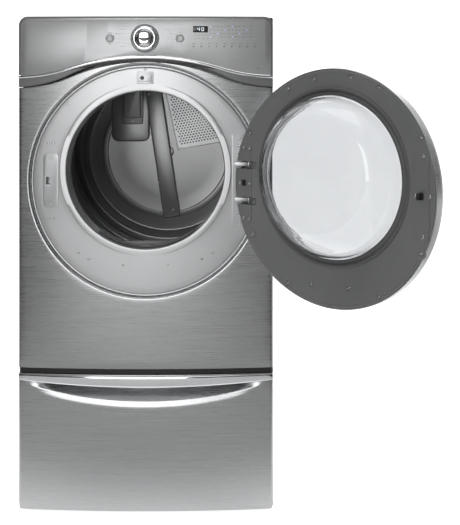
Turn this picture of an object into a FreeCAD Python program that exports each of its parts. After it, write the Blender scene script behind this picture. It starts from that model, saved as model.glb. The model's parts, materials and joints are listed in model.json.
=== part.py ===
"""Front load clothes dryer on a drawer pedestal, door standing open.

X runs to the machine's right as seen from the front, Y from the front to the back and Z up. The origin is on
the floor, midway between the four levelling feet. Sizes are in millimetres and angles in degrees.

The front of the machine is bowed: skin, round recess, door and drawer front all follow upright cylinders
about one axis far behind the front. "Depth" below is the distance behind that bowed skin, and a negative
depth stands proud of it.
"""

import FreeCAD, Part
import math
import os

import Sketcher

SIZES = (
    ("cabinet_width", 686, "outside width of dryer and pedestal"),
    ("cabinet_depth", 715, "rear panel to the front's side edges"),
    ("cabinet_height", 950, "dryer alone, pedestal deck to top"),
    ("pedestal_height", 394, "floor to pedestal deck"),
    ("front_bow", 20, "how far the middle of the front stands before its edges"),
    ("steel", 1.2, "pressed sheet of cabinet parts"),
    ("corner_radius", 8, "upright front corners"),
    ("front_return", 26, "how far the front skin wraps round the sides"),
    ("panel_gap", 1, "gap between neighbouring cabinet parts"),
    ("front_lift", 4, "front panel's lower edge above the deck"),
    ("door_centre_height", 508, "door and recess centre above the deck"),
    ("recess_radius", 312, "outside of the groove round the door"),
    ("recess_depth", 8, "face that the door closes on"),
    ("groove_depth", 20, "bottom of the groove round the face"),
    ("groove_width", 8, "width of that groove"),
    ("mouth_radius", 212, "loading opening"),
    ("mouth_rise", 29, "loading opening's centre above the door's centre"),
    ("collar_width", 18, "flat ring round the loading opening"),
    ("arch_inflection", 204, "where the arched lines turn from hump to hollow"),
    ("front_arch_base", 192, "front panel's upper edge at the sides, below the top"),
    ("front_arch_rise", 70, "rise of that edge at the middle"),
    ("console_arch_base", 190.5, "console's lower edge at the sides, below the top"),
    ("console_arch_rise", 78, "rise of that edge at the middle"),
    ("strip_base", 166.6, "trim strip's lower edge at the sides, below the top"),
    ("strip_rise", 52.3, "rise of that edge at the middle"),
    ("strip_tall", 8.5, "trim strip's height"),
    ("strip_proud", 6, "how far the trim strip stands before the console"),
    ("console_corner", 24, "console's upper corners"),
    ("console_depth", 62, "console from its side edges to the top panel"),
    ("console_wall", 3, "console moulding"),
    ("overlay_inset", 8, "border of the console round its overlay"),
    ("overlay_thickness", 1.2, "metal overlay on the console"),
    ("knob_drop", 59.5, "knob and buttons below the top"),
    ("knob_radius", 34, "control knob"),
    ("knob_depth", 20, "control knob, out from the overlay"),
    ("button_spacing", 93, "round buttons from the knob's axis"),
    ("button_radius", 10, "round buttons"),
    ("window_x", 148.6, "display window's middle"),
    ("window_drop", 35.2, "display window's middle below the top"),
    ("window_wide", 40, "display window"),
    ("window_tall", 17, "display window"),
    ("drum_radius", 318, "outside of the drum's shell"),
    ("drum_wall", 1.2, "drum's shell"),
    ("drum_front", -286, "drum's front edge along Y"),
    ("drum_back", 290, "drum's rear edge along Y"),
    ("bulkhead_front", -296, "front bulkhead's rear face along Y"),
    ("bulkhead_back", 300, "rear bulkhead's front face along Y"),
    ("bulkhead_dish", 18, "how far the middle of the rear bulkhead sits back"),
    ("dish_radius", 285, "outside of that dish"),
    ("baffle_height", 52, "drum baffles, in from the shell"),
    ("grille_radius", 207, "air grille's round edge, about the drum's axis"),
    ("grille_pitch", 9.5, "air grille's hole spacing"),
    ("grille_hole", 5.4, "air grille's hole diameter"),
    ("roller_radius", 36, "drum support rollers"),
    ("roller_width", 20, "drum support rollers"),
    ("roller_angle", 38, "rollers either side of straight down"),
    ("shaft_radius", 6, "roller shafts"),
    ("running_fit", 0.05, "radial play of a wheel on its shaft"),
    ("rolling_gap", 0.3, "gap kept between parts that roll on each other"),
    ("motor_x", -150, "motor and blower axis"),
    ("motor_height", 106, "motor and blower axis above the deck"),
    ("motor_radius", 62, "motor case"),
    ("pulley_radius", 16, "motor pulley under the belt"),
    ("belt_y", 120, "belt's middle along Y"),
    ("belt_width", 8, "belt"),
    ("belt_thickness", 1.6, "belt"),
    ("idler_radius", 24, "idler wheel under the belt"),
    ("idler_x", -40, "idler wheel's axis"),
    ("idler_height", 70, "idler wheel's axis above the deck"),
    ("blower_radius", 74, "blower housing"),
    ("blower_front", -292, "blower housing's front along Y"),
    ("blower_back", -212, "blower housing's back along Y"),
    ("duct_radius", 50.8, "outside of the 4 inch exhaust duct"),
    ("duct_wall", 1, "exhaust duct"),
    ("duct_x", 84, "exhaust duct's axis"),
    ("duct_height", 86, "exhaust duct's axis above the deck"),
    ("duct_spigot", 40, "exhaust duct behind the rear panel"),
    ("cord_hole_radius", 11, "power cord's hole in the rear panel"),
    ("filter_width", 236, "lint filter's body"),
    ("filter_tall", 215, "lint filter below the opening's lowest point"),
    ("filter_thickness", 20, "lint filter's body"),
    ("filter_y", -324, "lint filter's middle along Y"),
    ("slot_clearance", 4, "room round the lint filter in its slot"),
    ("door_radius", 302, "door's rim"),
    ("door_thickness", 35, "door's rim, front to back"),
    ("door_standoff", 5, "door's rim before the skin when closed"),
    ("liner_radius", 298.5, "door's inner liner"),
    ("liner_standoff", 3, "liner before the skin when closed"),
    ("door_wall", 2.5, "door mouldings"),
    ("window_radius", 232, "door's outer window, on the opening's centre"),
    ("seal_radius", 231, "outside of the door's seal"),
    ("seal_gap", 0.5, "seal to collar when closed"),
    ("bowl_radius", 203, "glass bowl at the liner"),
    ("bowl_end_radius", 158, "glass bowl's flat end"),
    ("bowl_end_rise", 12, "bowl's end above its rim's centre"),
    ("bowl_depth", 82, "glass bowl behind the collar"),
    ("bowl_wall", 4, "glass bowl"),
    ("hinge_x", 278, "door hinge's axis"),
    ("hinge_proud", 16.5, "door hinge's axis before the middle of the front"),
    ("hinge_spacing", 94, "door hinge's two arms"),
    ("hinge_arm_tall", 12, "each hinge arm"),
    ("hinge_pin_radius", 3.5, "hinge pin"),
    ("hinge_reach", 34, "hinge arm, from its pin to where it turns back"),
    ("door_open", 143, "how far the door stands open"),
    ("latch_x", 262, "latch from the machine's middle"),
    ("foot_x", 300, "feet from the machine's middle"),
    ("foot_y", 280, "feet from the machine's middle"),
    ("foot_radius", 19, "foot pads"),
    ("foot_tall", 14, "foot pads"),
    ("drawer_front_top", 383, "drawer front's upper edge above the floor"),
    ("drawer_front_base", 17, "drawer front's lower edge above the floor"),
    ("drawer_skin", 14, "drawer front, folded depth behind the skin's edges"),
    ("handle_edge_tall", 15.5, "handle strip at the sides"),
    ("handle_mid_tall", 30, "handle strip at the middle"),
    ("handle_proud", 12, "handle strip before the drawer front at the middle"),
    ("handle_edge_proud", 3, "handle strip before the drawer front at the sides"),
    ("scoop_half_width", 310, "finger scoop under the handle strip"),
    ("scoop_tall", 46, "finger scoop below the handle strip"),
    ("scoop_depth", 30, "finger scoop's depth"),
    ("drawer_deep", 560, "drawer tub"),
    ("drawer_tall", 250, "drawer tub"),
    ("drawer_base", 62, "drawer tub's floor above the floor"),
    ("chassis_base", 22, "pedestal's sheet bottom above the floor"),
    ("rail_wide", 12.7, "drawer rails, as sold"),
    ("rail_tall", 45, "drawer rails"),
)


def make_sheet():
    """The spreadsheet of driving sizes: value in column A, what it is in column B."""
    made = doc.addObject("Spreadsheet::Sheet", "dims")
    for row, (alias, size, note) in enumerate(SIZES, 1):
        made.set(f"A{row}", str(size))
        made.setAlias(f"A{row}", alias)
        made.set(f"B{row}", note)
    doc.recompute()
    return made


def number(expression):
    """What an expression over the sheet comes to now."""
    return float(sheet.evalExpression(str(expression).replace("dims.", "")))


# Places that several pieces share, as expressions over the sheet.
HALF = "(dims.cabinet_width / 2)"
EDGE = "(-dims.cabinet_depth / 2)"
BACK = "(dims.cabinet_depth / 2)"
APEX = f"({EDGE} - dims.front_bow)"
BOW_RADIUS = f"(({HALF}^2 + dims.front_bow^2) / (2 * dims.front_bow))"
BOW_Y = f"({APEX} + {BOW_RADIUS})"
DECK = "dims.pedestal_height"
TOP = "(dims.pedestal_height + dims.cabinet_height)"
DOOR_Z = "(dims.pedestal_height + dims.door_centre_height)"
MOUTH_Z = f"({DOOR_Z} + dims.mouth_rise)"
COLLAR_Y = f"({APEX} + dims.recess_depth)"
COLLAR_RADIUS = "(dims.mouth_radius + dims.collar_width)"
HINGE_Y = f"({APEX} - dims.hinge_proud)"
KNOB_Z = f"({TOP} - dims.knob_drop)"
OVERLAY_Y = f"({APEX} - dims.overlay_thickness)"
MOTOR_Z = f"({DECK} + dims.motor_height)"
IDLER_Z = f"({DECK} + dims.idler_height)"
DUCT_Z = f"({DECK} + dims.duct_height)"
DISH_Y = "(dims.bulkhead_back + dims.bulkhead_dish)"
BASE_TOP = f"({DECK} + 30)"


def place(item, x=None, y=None, z=None):
    """Binds an object's position to expressions."""
    for axis, expression in (("x", x), ("y", y), ("z", z)):
        if expression is not None:
            item.setExpression(f"Placement.Base.{axis}", str(expression))
    return item


def box(name, x, y, z):
    """A box. Each of x, y and z is its low and high end."""
    item = doc.addObject("Part::Box", name)
    for side, (low, high) in zip(("Length", "Width", "Height"), (x, y, z)):
        item.setExpression(side, f"({high}) - ({low})")
    return place(item, x[0], y[0], z[0])


TURNS = {
    "X": FreeCAD.Rotation(FreeCAD.Vector(0, 1, 0), 90),
    "Y": FreeCAD.Rotation(FreeCAD.Vector(1, 0, 0), -90),
    "Z": FreeCAD.Rotation(),
}


def cylinder(name, axis, centre, radius, span):
    """A cylinder along X, Y or Z. centre is its place on the two other axes, in X, Y, Z order."""
    item = doc.addObject("Part::Cylinder", name)
    item.Placement.Rotation = TURNS[axis]
    item.setExpression("Radius", str(radius))
    item.setExpression("Height", f"({span[1]}) - ({span[0]})")
    x, y, z = {
        "X": (span[0], *centre),
        "Y": (centre[0], span[0], centre[1]),
        "Z": (*centre, span[0]),
    }[axis]
    return place(item, x, y, z)


def tube(name, axis, centre, outer, inner, span):
    """A plain ring or pipe along X, Y or Z."""
    bore = (f"({span[0]}) - 1", f"({span[1]}) + 1")
    return cut(name, cylinder(f"{name}_outside", axis, centre, outer, span),
               cylinder(f"{name}_bore", axis, centre, inner, bore))


def cut(name, base, *tools):
    """base with the tools taken away."""
    item = doc.addObject("Part::Cut", name)
    item.Base = base
    item.Tool = tools[0] if len(tools) == 1 else fuse(f"{name}_tools", *tools)
    return item


def fuse(name, *parts):
    """Parts joined into one shape."""
    item = doc.addObject("Part::MultiFuse", name)
    item.Shapes = list(parts)
    return item


def common(name, *parts):
    """What all the parts share."""
    item = doc.addObject("Part::MultiCommon", name)
    item.Shapes = list(parts)
    return item


def arc_middle(start, end, radius, side):
    """A point halfway along the arc from start to end. side is 1 for an arc whose middle is left of the way."""
    chord = math.dist(start, end)
    rise = radius - math.sqrt(max(radius**2 - chord**2 / 4, 0.0))
    across = (-(end[1] - start[1]) / chord, (end[0] - start[0]) / chord)
    return tuple((a + b) / 2 + side * rise * n for a, b, n in zip(start, end, across))


def sketch_outline(body, name, plane, outline):
    """A closed sketch of its corners. A corner with a radius and a side starts an arc to the next."""
    sketch = body.newObject("Sketcher::SketchObject", name)
    base = next(f for f in body.Origin.OriginFeatures if f.Role == plane)
    sketch.AttachmentSupport = [(base, "")]
    sketch.MapMode = "FlatFace"
    corners = [(number(c[0]), number(c[1])) for c in outline]
    starts, ends = [], []
    for index, corner in enumerate(outline):
        start, end = corners[index], corners[(index + 1) % len(corners)]
        ends_in_order = (1, 2)
        if len(corner) == 2:
            shape = Part.LineSegment(FreeCAD.Vector(*start, 0), FreeCAD.Vector(*end, 0))
        else:
            middle = arc_middle(start, end, number(corner[2]), corner[3])
            shape = Part.Arc(*(FreeCAD.Vector(*p, 0) for p in (start, middle, end)))
        sketch.addGeometry(shape, False)
        first = sketch.getPoint(index, 1)
        if math.dist((first.x, first.y), start) > 1e-6:
            ends_in_order = (2, 1)
        starts.append(ends_in_order[0])
        ends.append(ends_in_order[1])
    for index, corner in enumerate(outline):
        after = (index + 1) % len(outline)
        sketch.addConstraint(Sketcher.Constraint("Coincident", index, ends[index], after, starts[after]))
    for index, corner in enumerate(outline):
        for kind, letter, at in (("DistanceX", "x", 0), ("DistanceY", "y", 1)):
            held = sketch.addConstraint(
                Sketcher.Constraint(kind, -1, 1, index, starts[index], corners[index][at]))
            sketch.renameConstraint(held, f"{letter}{index}")
            sketch.setExpression(f"Constraints.{letter}{index}", str(corner[at]))
        if len(corner) > 2:
            held = sketch.addConstraint(Sketcher.Constraint("Radius", index, number(corner[2])))
            sketch.renameConstraint(held, f"r{index}")
            sketch.setExpression(f"Constraints.r{index}", str(corner[2]))
    return sketch


def pad(name, plane, outline, low, high):
    """A prism: outline in the XY, XZ or YZ plane, from low to high along the third axis."""
    body = doc.addObject("PartDesign::Body", name)
    sketch = sketch_outline(body, f"{name}_outline", f"{plane}_Plane", outline)
    feature = body.newObject("PartDesign::Pad", f"{name}_pad")
    feature.Profile = sketch
    feature.setExpression("Length", f"({high}) - ({low})")
    sketch.Visibility = False
    if plane == "XY":
        return place(body, z=low)
    return place(body, y=high) if plane == "XZ" else place(body, x=low)


def revolve(name, centre, outline):
    """A turned piece about a line along Y through centre (x, z). outline is in (radius, y)."""
    body = doc.addObject("PartDesign::Body", name)
    sketch = sketch_outline(body, f"{name}_outline", "XY_Plane", outline)
    feature = body.newObject("PartDesign::Revolution", f"{name}_turn")
    feature.Profile = sketch
    feature.ReferenceAxis = (sketch, ["V_Axis"])
    feature.Angle = 360
    return place(body, x=centre[0], z=centre[1])


def rounded(name, base, radius, chosen):
    """base with a fillet on the edges for which chosen(edge) is true."""
    doc.recompute()
    item = doc.addObject("Part::Fillet", name)
    item.Base = base
    size = number(radius)
    item.Edges = [(i, size, size) for i, e in enumerate(base.Shape.Edges, 1) if chosen(e)]
    if not item.Edges:
        raise RuntimeError(f"{name}: no edge to round")
    return item


def bow_at(depth, x):
    """Y of the bowed surface at that depth, x from the middle."""
    return f"({BOW_Y} - sqrt(({BOW_RADIUS} - ({depth}))^2 - ({x})^2))"


def bowed_block(name, depth, half, back, z):
    """A block with a bowed front at that depth, flat sides at x = +-half and a flat back."""
    side = bow_at(depth, half)
    outline = [(f"-({half})", back), (f"-({half})", side, f"{BOW_RADIUS} - ({depth})", -1),
               (half, side), (half, back)]
    return pad(name, "XY", outline, *z)


def bowed_sheet(name, near, far, half, z):
    """What lies between two depths of the bow, x within half."""
    front, rear = bow_at(near, half), bow_at(far, half)
    outline = [(f"-({half})", rear), (f"-({half})", front, f"{BOW_RADIUS} - ({near})", -1),
               (half, front), (half, rear, f"{BOW_RADIUS} - ({far})", 1)]
    return pad(name, "XY", outline, *z)


def arch(half, base, rise, turn="dims.arch_inflection", reverse=False):
    """Corners and arcs of a line that humps up in the middle and runs out level at x = +-half."""
    share = f"(({turn}) / ({half}))"
    radii = f"((({half})^2 + ({rise})^2) / (2 * ({rise})))"
    hump, hollow = f"({radii} * {share})", f"({radii} * (1 - {share}))"
    knee_z = f"(({base}) + ({rise}) * (1 - {share}))"
    if reverse:
        return [(half, base, hollow, 1), (f"({turn})", knee_z, hump, -1),
                (f"-({turn})", knee_z, hollow, 1), (f"-({half})", base)]
    return [(f"-({half})", base, hollow, -1), (f"-({turn})", knee_z, hump, 1),
            (f"({turn})", knee_z, hollow, -1), (half, base)]


def finish(label, item):
    """Marks an object as a sub-part: its Label names its file."""
    item.Label = label
    pieces.append(item)
    return item


def swing(label, item):
    """A door piece: modelled closed, then turned about the hinge to where the door stands."""
    item.setExpression("Placement", "placement(vector(0; 0; 0); rotation(vector(0; 0; 1); dims.door_open); "
                                    f"vector(dims.hinge_x; {HINGE_Y}; 0))")
    return finish(label, item)


def upright(edge):
    """True for a straight edge along Z."""
    ends = [v.Point for v in edge.Vertexes]
    return len(ends) == 2 and abs(ends[0].x - ends[1].x) < 1e-4 and abs(ends[0].y - ends[1].y) < 1e-4


def front_corner(edge):
    """True for an upright edge where a bowed front meets a side."""
    return upright(edge) and edge.Vertexes[0].Point.y < number(EDGE) + 5


def polar(radius, degrees):
    """A point about the drum's axis, degrees from +X towards +Z."""
    across, up = math.cos(math.radians(degrees)), math.sin(math.radians(degrees))
    return f"{across:.6f} * ({radius})", f"{MOUTH_Z} + {up:.6f} * ({radius})"


def either_side(build, *offsets):
    """The pieces that build(offset) makes, for every offset, as one list."""
    return [build(offset, index) for index, offset in enumerate(offsets)]


def loft(name, rings):
    """A round solid through circles across Y. rings lists (y, radius, centre z)."""
    circles = []
    for index, (y, radius, z) in enumerate(rings):
        ring = doc.addObject("Part::Circle", f"{name}_ring{index}")
        ring.setExpression("Radius", str(radius))
        ring.Placement.Rotation = FreeCAD.Rotation(FreeCAD.Vector(1, 0, 0), 90)
        circles.append(place(ring, "0", y, z))
    item = doc.addObject("Part::Loft", name)
    item.Sections = circles
    item.Solid = True
    return item


def cabinet():
    """Panels of the dryer's case and the pan they stand on."""
    inside = f"({HALF} - dims.steel)"
    back_face = f"({BACK} - dims.steel)"
    pan_front = f"({EDGE} + dims.front_return + 6)"
    pan = cut("pan_sheet",
              box("pan_outside", (f"-{inside}", inside), (pan_front, back_face), (DECK, BASE_TOP)),
              box("pan_inside", (f"2 - {inside}", f"{inside} - 2"), (f"{pan_front} + 2", f"{back_face} - 2"),
                  (f"{DECK} - 1", f"{BASE_TOP} - 2")))
    pivot = (f"dims.idler_x - 55", f"{IDLER_Z} - 28")
    tab = box("idler_tab", (f"{pivot[0]} - 14", f"{pivot[0]} + 14"), ("dims.belt_y + 20", "dims.belt_y + 23"),
              (f"{BASE_TOP} - 1", f"{pivot[1]} + 12"))
    pin = cylinder("idler_pivot", "Y", pivot, 4, ("dims.belt_y + 9", "dims.belt_y + 21"))
    finish("base_pan", fuse("base_pan_all", pan, tab, pin))

    low_edge, high_edge = f"({EDGE} + dims.front_return + dims.panel_gap)", f"({EDGE} + dims.console_depth)"
    shoulder = f"({TOP} - dims.front_arch_base)"
    roof = f"({TOP} - 26)"
    for side, label in ((-1, "left_side_panel"), (1, "right_side_panel")):
        wall = (f"-{HALF}", f"-{inside}") if side < 0 else (inside, HALF)
        fold = (f"-{HALF}", f"16 - {HALF}") if side < 0 else (f"{HALF} - 16", HALF)
        sheet_part = pad(f"{label}_sheet", "YZ",
                         [(low_edge, DECK), (BACK, DECK), (BACK, roof), (high_edge, roof),
                          (high_edge, shoulder), (low_edge, shoulder)], *wall)
        rear_fold = box(f"{label}_fold", fold, (f"{back_face} - dims.steel", back_face), (BASE_TOP, roof))
        finish(label, fuse(f"{label}_all", sheet_part, rear_fold))

    vents = []
    for row in range(4):
        for column in range(6):
            x = f"(-{HALF} + 60 + {column} * 34)"
            z = f"({TOP} - 150 - {row} * 22)"
            vents.append(box(f"vent{row}{column}", (x, f"{x} + 24"), (f"{BACK} - 5", f"{BACK} + 5"),
                             (z, f"{z} + 7")))
    rear = box("rear_sheet", (f"0.2 - {inside}", f"{inside} - 0.2"), (back_face, BACK), (DECK, f"{TOP} - 26"))
    through = (f"{BACK} - 5", f"{BACK} + 5")
    finish("rear_panel", cut("rear_panel_all", rear,
                             cylinder("duct_hole", "Y", ("dims.duct_x", DUCT_Z), "dims.duct_radius + 1",
                                      through),
                             cylinder("cord_hole", "Y", (f"70 - {HALF}", f"{DECK} + 120"),
                                      "dims.cord_hole_radius",
                                      through), *vents))

    top_front = f"({EDGE} + dims.console_depth + dims.panel_gap)"
    skirt = f"({TOP} - 25)"
    top_block = rounded("top_block", box("top_outside", (f"-{HALF}", HALF), (top_front, BACK), (skirt, TOP)),
                        "dims.corner_radius - 2", lambda e: min(v.Point.z for v in e.Vertexes) > number(TOP) - 1
                        and max(v.Point.y for v in e.Vertexes) > number(top_front) + 1)
    hollow = box("top_inside", (f"-{inside}", inside), (f"{top_front} - 1", back_face),
                 (f"{skirt} - 1", f"{TOP} - 3"))
    finish("top_panel", cut("top_panel_all", top_block, hollow))


def front():
    """Skin with its groove, recessed face and neck, and what is fixed to them."""
    bottom = f"({DECK} + dims.front_lift)"
    arch_z = f"({TOP} - dims.front_arch_base)"
    inside = f"({HALF} - dims.steel)"
    back = f"({EDGE} + dims.front_return)"
    tall = (f"{bottom} - 1", f"{TOP} - 60")
    centre = ("0", DOOR_Z)
    mouth = ("0", MOUTH_Z)
    outside = rounded("skin_outside", bowed_block("skin_solid", "0", HALF, back, tall), "dims.corner_radius",
                      front_corner)
    hollow = rounded("skin_hollow", bowed_block("skin_void", "dims.steel", inside, f"{back} + 1", tall),
                     "dims.corner_radius - dims.steel", front_corner)
    outline = arch(HALF, arch_z, "dims.front_arch_rise")
    outline += [(HALF, bottom), (f"-{HALF}", bottom)]
    silhouette = pad("skin_silhouette", "XZ", outline, f"{APEX} - 20", f"{back} + 20")
    shell = common("skin_trimmed", cut("skin_shell", outside, hollow), silhouette)
    reach = (f"{APEX} - 60", f"{EDGE} + 200")
    wide = f"(dims.recess_radius + 20)"
    rows = (f"{DOOR_Z} - {wide}", f"{DOOR_Z} + {wide}")
    groove_in = "(dims.recess_radius - dims.groove_width)"

    def slab(name, near, far):
        return bowed_sheet(name, near, far, wide, rows)

    open_shell = cut("skin_open", shell, cylinder("recess_bore", "Y", centre, "dims.recess_radius", reach))
    channel = cut("channel",
                  common("channel_block", slab("channel_slab", "0", "dims.groove_depth + dims.steel"),
                         tube("channel_ring", "Y", centre, "dims.recess_radius + dims.steel",
                              f"{groove_in} - dims.steel", reach)),
                  common("channel_void", slab("channel_air", "-20", "dims.groove_depth"),
                         tube("channel_gap", "Y", centre, "dims.recess_radius", groove_in, reach)),
                  common("channel_step", slab("step_air", "-20", "dims.recess_depth"),
                         cylinder("step_disc", "Y", centre, "dims.recess_radius - 1", reach)))
    face = cut("face",
               common("face_disc", slab("face_slab", "dims.recess_depth", "dims.recess_depth + dims.steel"),
                      cylinder("face_round", "Y", centre, groove_in, reach)),
               cylinder("face_mouth", "Y", mouth, f"{COLLAR_RADIUS} - 0.5", reach))
    collar_wall = common("collar_wall",
                         tube("collar_tube", "Y", mouth, COLLAR_RADIUS, f"{COLLAR_RADIUS} - dims.steel",
                              (COLLAR_Y, f"{COLLAR_Y} + 40")),
                         slab("collar_slab", "-20", "dims.recess_depth + dims.steel"))
    collar = tube("collar", "Y", mouth, COLLAR_RADIUS, "dims.mouth_radius",
                  (COLLAR_Y, f"{COLLAR_Y} + dims.steel"))
    neck = tube("neck", "Y", mouth, "dims.mouth_radius + dims.steel", "dims.mouth_radius",
                (COLLAR_Y, "dims.bulkhead_front"))
    slot_half = "(dims.filter_width / 2 + dims.slot_clearance)"
    slot_y = "(dims.filter_thickness / 2 + dims.slot_clearance)"
    filter_slot = box("filter_slot", (f"-{slot_half}", slot_half), (f"dims.filter_y - {slot_y}",
                                                                    f"dims.filter_y + {slot_y}"),
                      (f"{MOUTH_Z} - dims.mouth_radius - 10", f"{MOUTH_Z} - 60"))
    latch_hole = box("latch_hole", ("-dims.latch_x - 9", "9 - dims.latch_x"), reach,
                     (f"{DOOR_Z} - 13", f"{DOOR_Z} + 13"))
    switch_low, switch_high = SWITCH_Z
    switch_hole = box("switch_hole", ("-18.3", "18.3"), reach, (f"{switch_low} + 4", f"{switch_high} - 4"))
    joined = fuse("front_joined", open_shell, channel, face, collar_wall, collar, neck)
    finish("front_panel", cut("front_panel_all", joined, filter_slot, latch_hole, switch_hole))

    plate_rows = (f"{DOOR_Z} - 73", f"{DOOR_Z} + 73")
    plate = common("latch_sheet", slab("latch_slab", "dims.recess_depth - 1.6", "dims.recess_depth"),
                   rounded("latch_block", box("latch_box", ("-dims.latch_x - 14", "28 - dims.latch_x"), reach,
                                              plate_rows), 12,
                           lambda e: abs(e.Vertexes[0].Point.y - e.Vertexes[-1].Point.y) > 50))
    pocket_front = bow_at("dims.recess_depth + dims.steel", "dims.latch_x")
    pocket = box("latch_pocket", ("-dims.latch_x - 12", "12 - dims.latch_x"),
                 (f"{pocket_front} + 3", f"{pocket_front} + 32"), (f"{DOOR_Z} - 22", f"{DOOR_Z} + 22"))
    pocket_neck = box("latch_sleeve", ("-dims.latch_x - 8.7", "8.7 - dims.latch_x"),
                      (f"{pocket_front} - 3.4", f"{pocket_front} + 4"),
                      (f"{DOOR_Z} - 12.7", f"{DOOR_Z} + 12.7"))
    pocket_void = box("latch_void", ("-dims.latch_x - 7.5", "7.5 - dims.latch_x"),
                      (f"{pocket_front} - 20", f"{pocket_front} + 29"), (f"{DOOR_Z} - 11", f"{DOOR_Z} + 11"))
    finish("latch_plate", cut("latch_plate_all", fuse("latch_solid", plate, pocket, pocket_neck),
                              pocket_void))

    body = box("switch_case", ("-18", "18"), (COLLAR_Y, f"{COLLAR_Y} + 26"),
               (f"{switch_low} + 4.3", f"{switch_high} - 4.3"))
    flange = box("switch_flange", ("-22", "22"), (f"{COLLAR_Y} - 1.6", COLLAR_Y), (switch_low, switch_high))
    plunger_at = ("-8", f"({switch_low} + {switch_high}) / 2")
    finish("door_switch", cut("door_switch_all", fuse("switch_solid", flange, body),
                              cylinder("plunger_bore", "Y", plunger_at, 5.4, (f"{COLLAR_Y} - 5",
                                                                             f"{COLLAR_Y} + 22"))))
    finish("switch_plunger", fuse("switch_plunger_all",
                                  cylinder("plunger_rod", "Y", plunger_at, 5, (f"{COLLAR_Y} - 7.5",
                                                                              f"{COLLAR_Y} + 12")),
                                  cylinder("plunger_stem", "Y", plunger_at, 2.5, (f"{COLLAR_Y} + 11",
                                                                                  f"{COLLAR_Y} + 17"))))

    near, far = "(dims.hinge_x - dims.hinge_reach - 12)", "(dims.hinge_x - dims.hinge_reach + 18)"
    plate = common("hinge_sheet", slab("hinge_slab", "dims.recess_depth - 2.5", "dims.recess_depth"),
                   box("hinge_plate", (near, far), reach, (f"{DOOR_Z} - 125", f"{DOOR_Z} + 125")))
    bend = "(dims.hinge_x - dims.hinge_reach)"
    land = bow_at("dims.recess_depth - 1", bend)
    arms = []
    for index, side in enumerate((-1, 1)):
        middle = f"({DOOR_Z} + {side} * dims.hinge_spacing / 2)"
        rows = (f"{middle} - dims.hinge_arm_tall / 2", f"{middle} + dims.hinge_arm_tall / 2")
        arms.append(box(f"arm_reach{index}", (f"{bend} - 4", "dims.hinge_x"),
                        (f"{HINGE_Y} - 4", f"{HINGE_Y} + 4"),
                        rows))
        arms.append(box(f"arm_stem{index}", (f"{bend} - 4", f"{bend} + 4"), (f"{HINGE_Y} - 4", land), rows))
        arms.append(cylinder(f"arm_eye{index}", "Z", ("dims.hinge_x", HINGE_Y), 6.5, rows))
    finish("hinge_bracket", cut("hinge_bracket_all", fuse("hinge_solid", plate, *arms),
                                cylinder("hinge_bore", "Z", ("dims.hinge_x", HINGE_Y),
                                         "dims.hinge_pin_radius + dims.running_fit",
                                         (f"{DOOR_Z} - 100", f"{DOOR_Z} + 100"))))


def console_outline(inset, base, rise, corner):
    """The console's front outline, inset from its sides and top, above an arched lower edge."""
    half, roof = f"({HALF} - ({inset}))", f"({TOP} - ({inset}))"
    outline = arch(half, base, rise, reverse=True)
    outline.append((f"-{half}", f"{roof} - ({corner})", corner, 1))
    outline.append((f"({corner}) - {half}", roof))
    outline.append((f"{half} - ({corner})", roof, corner, 1))
    outline.append((half, f"{roof} - ({corner})"))
    return outline


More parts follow.
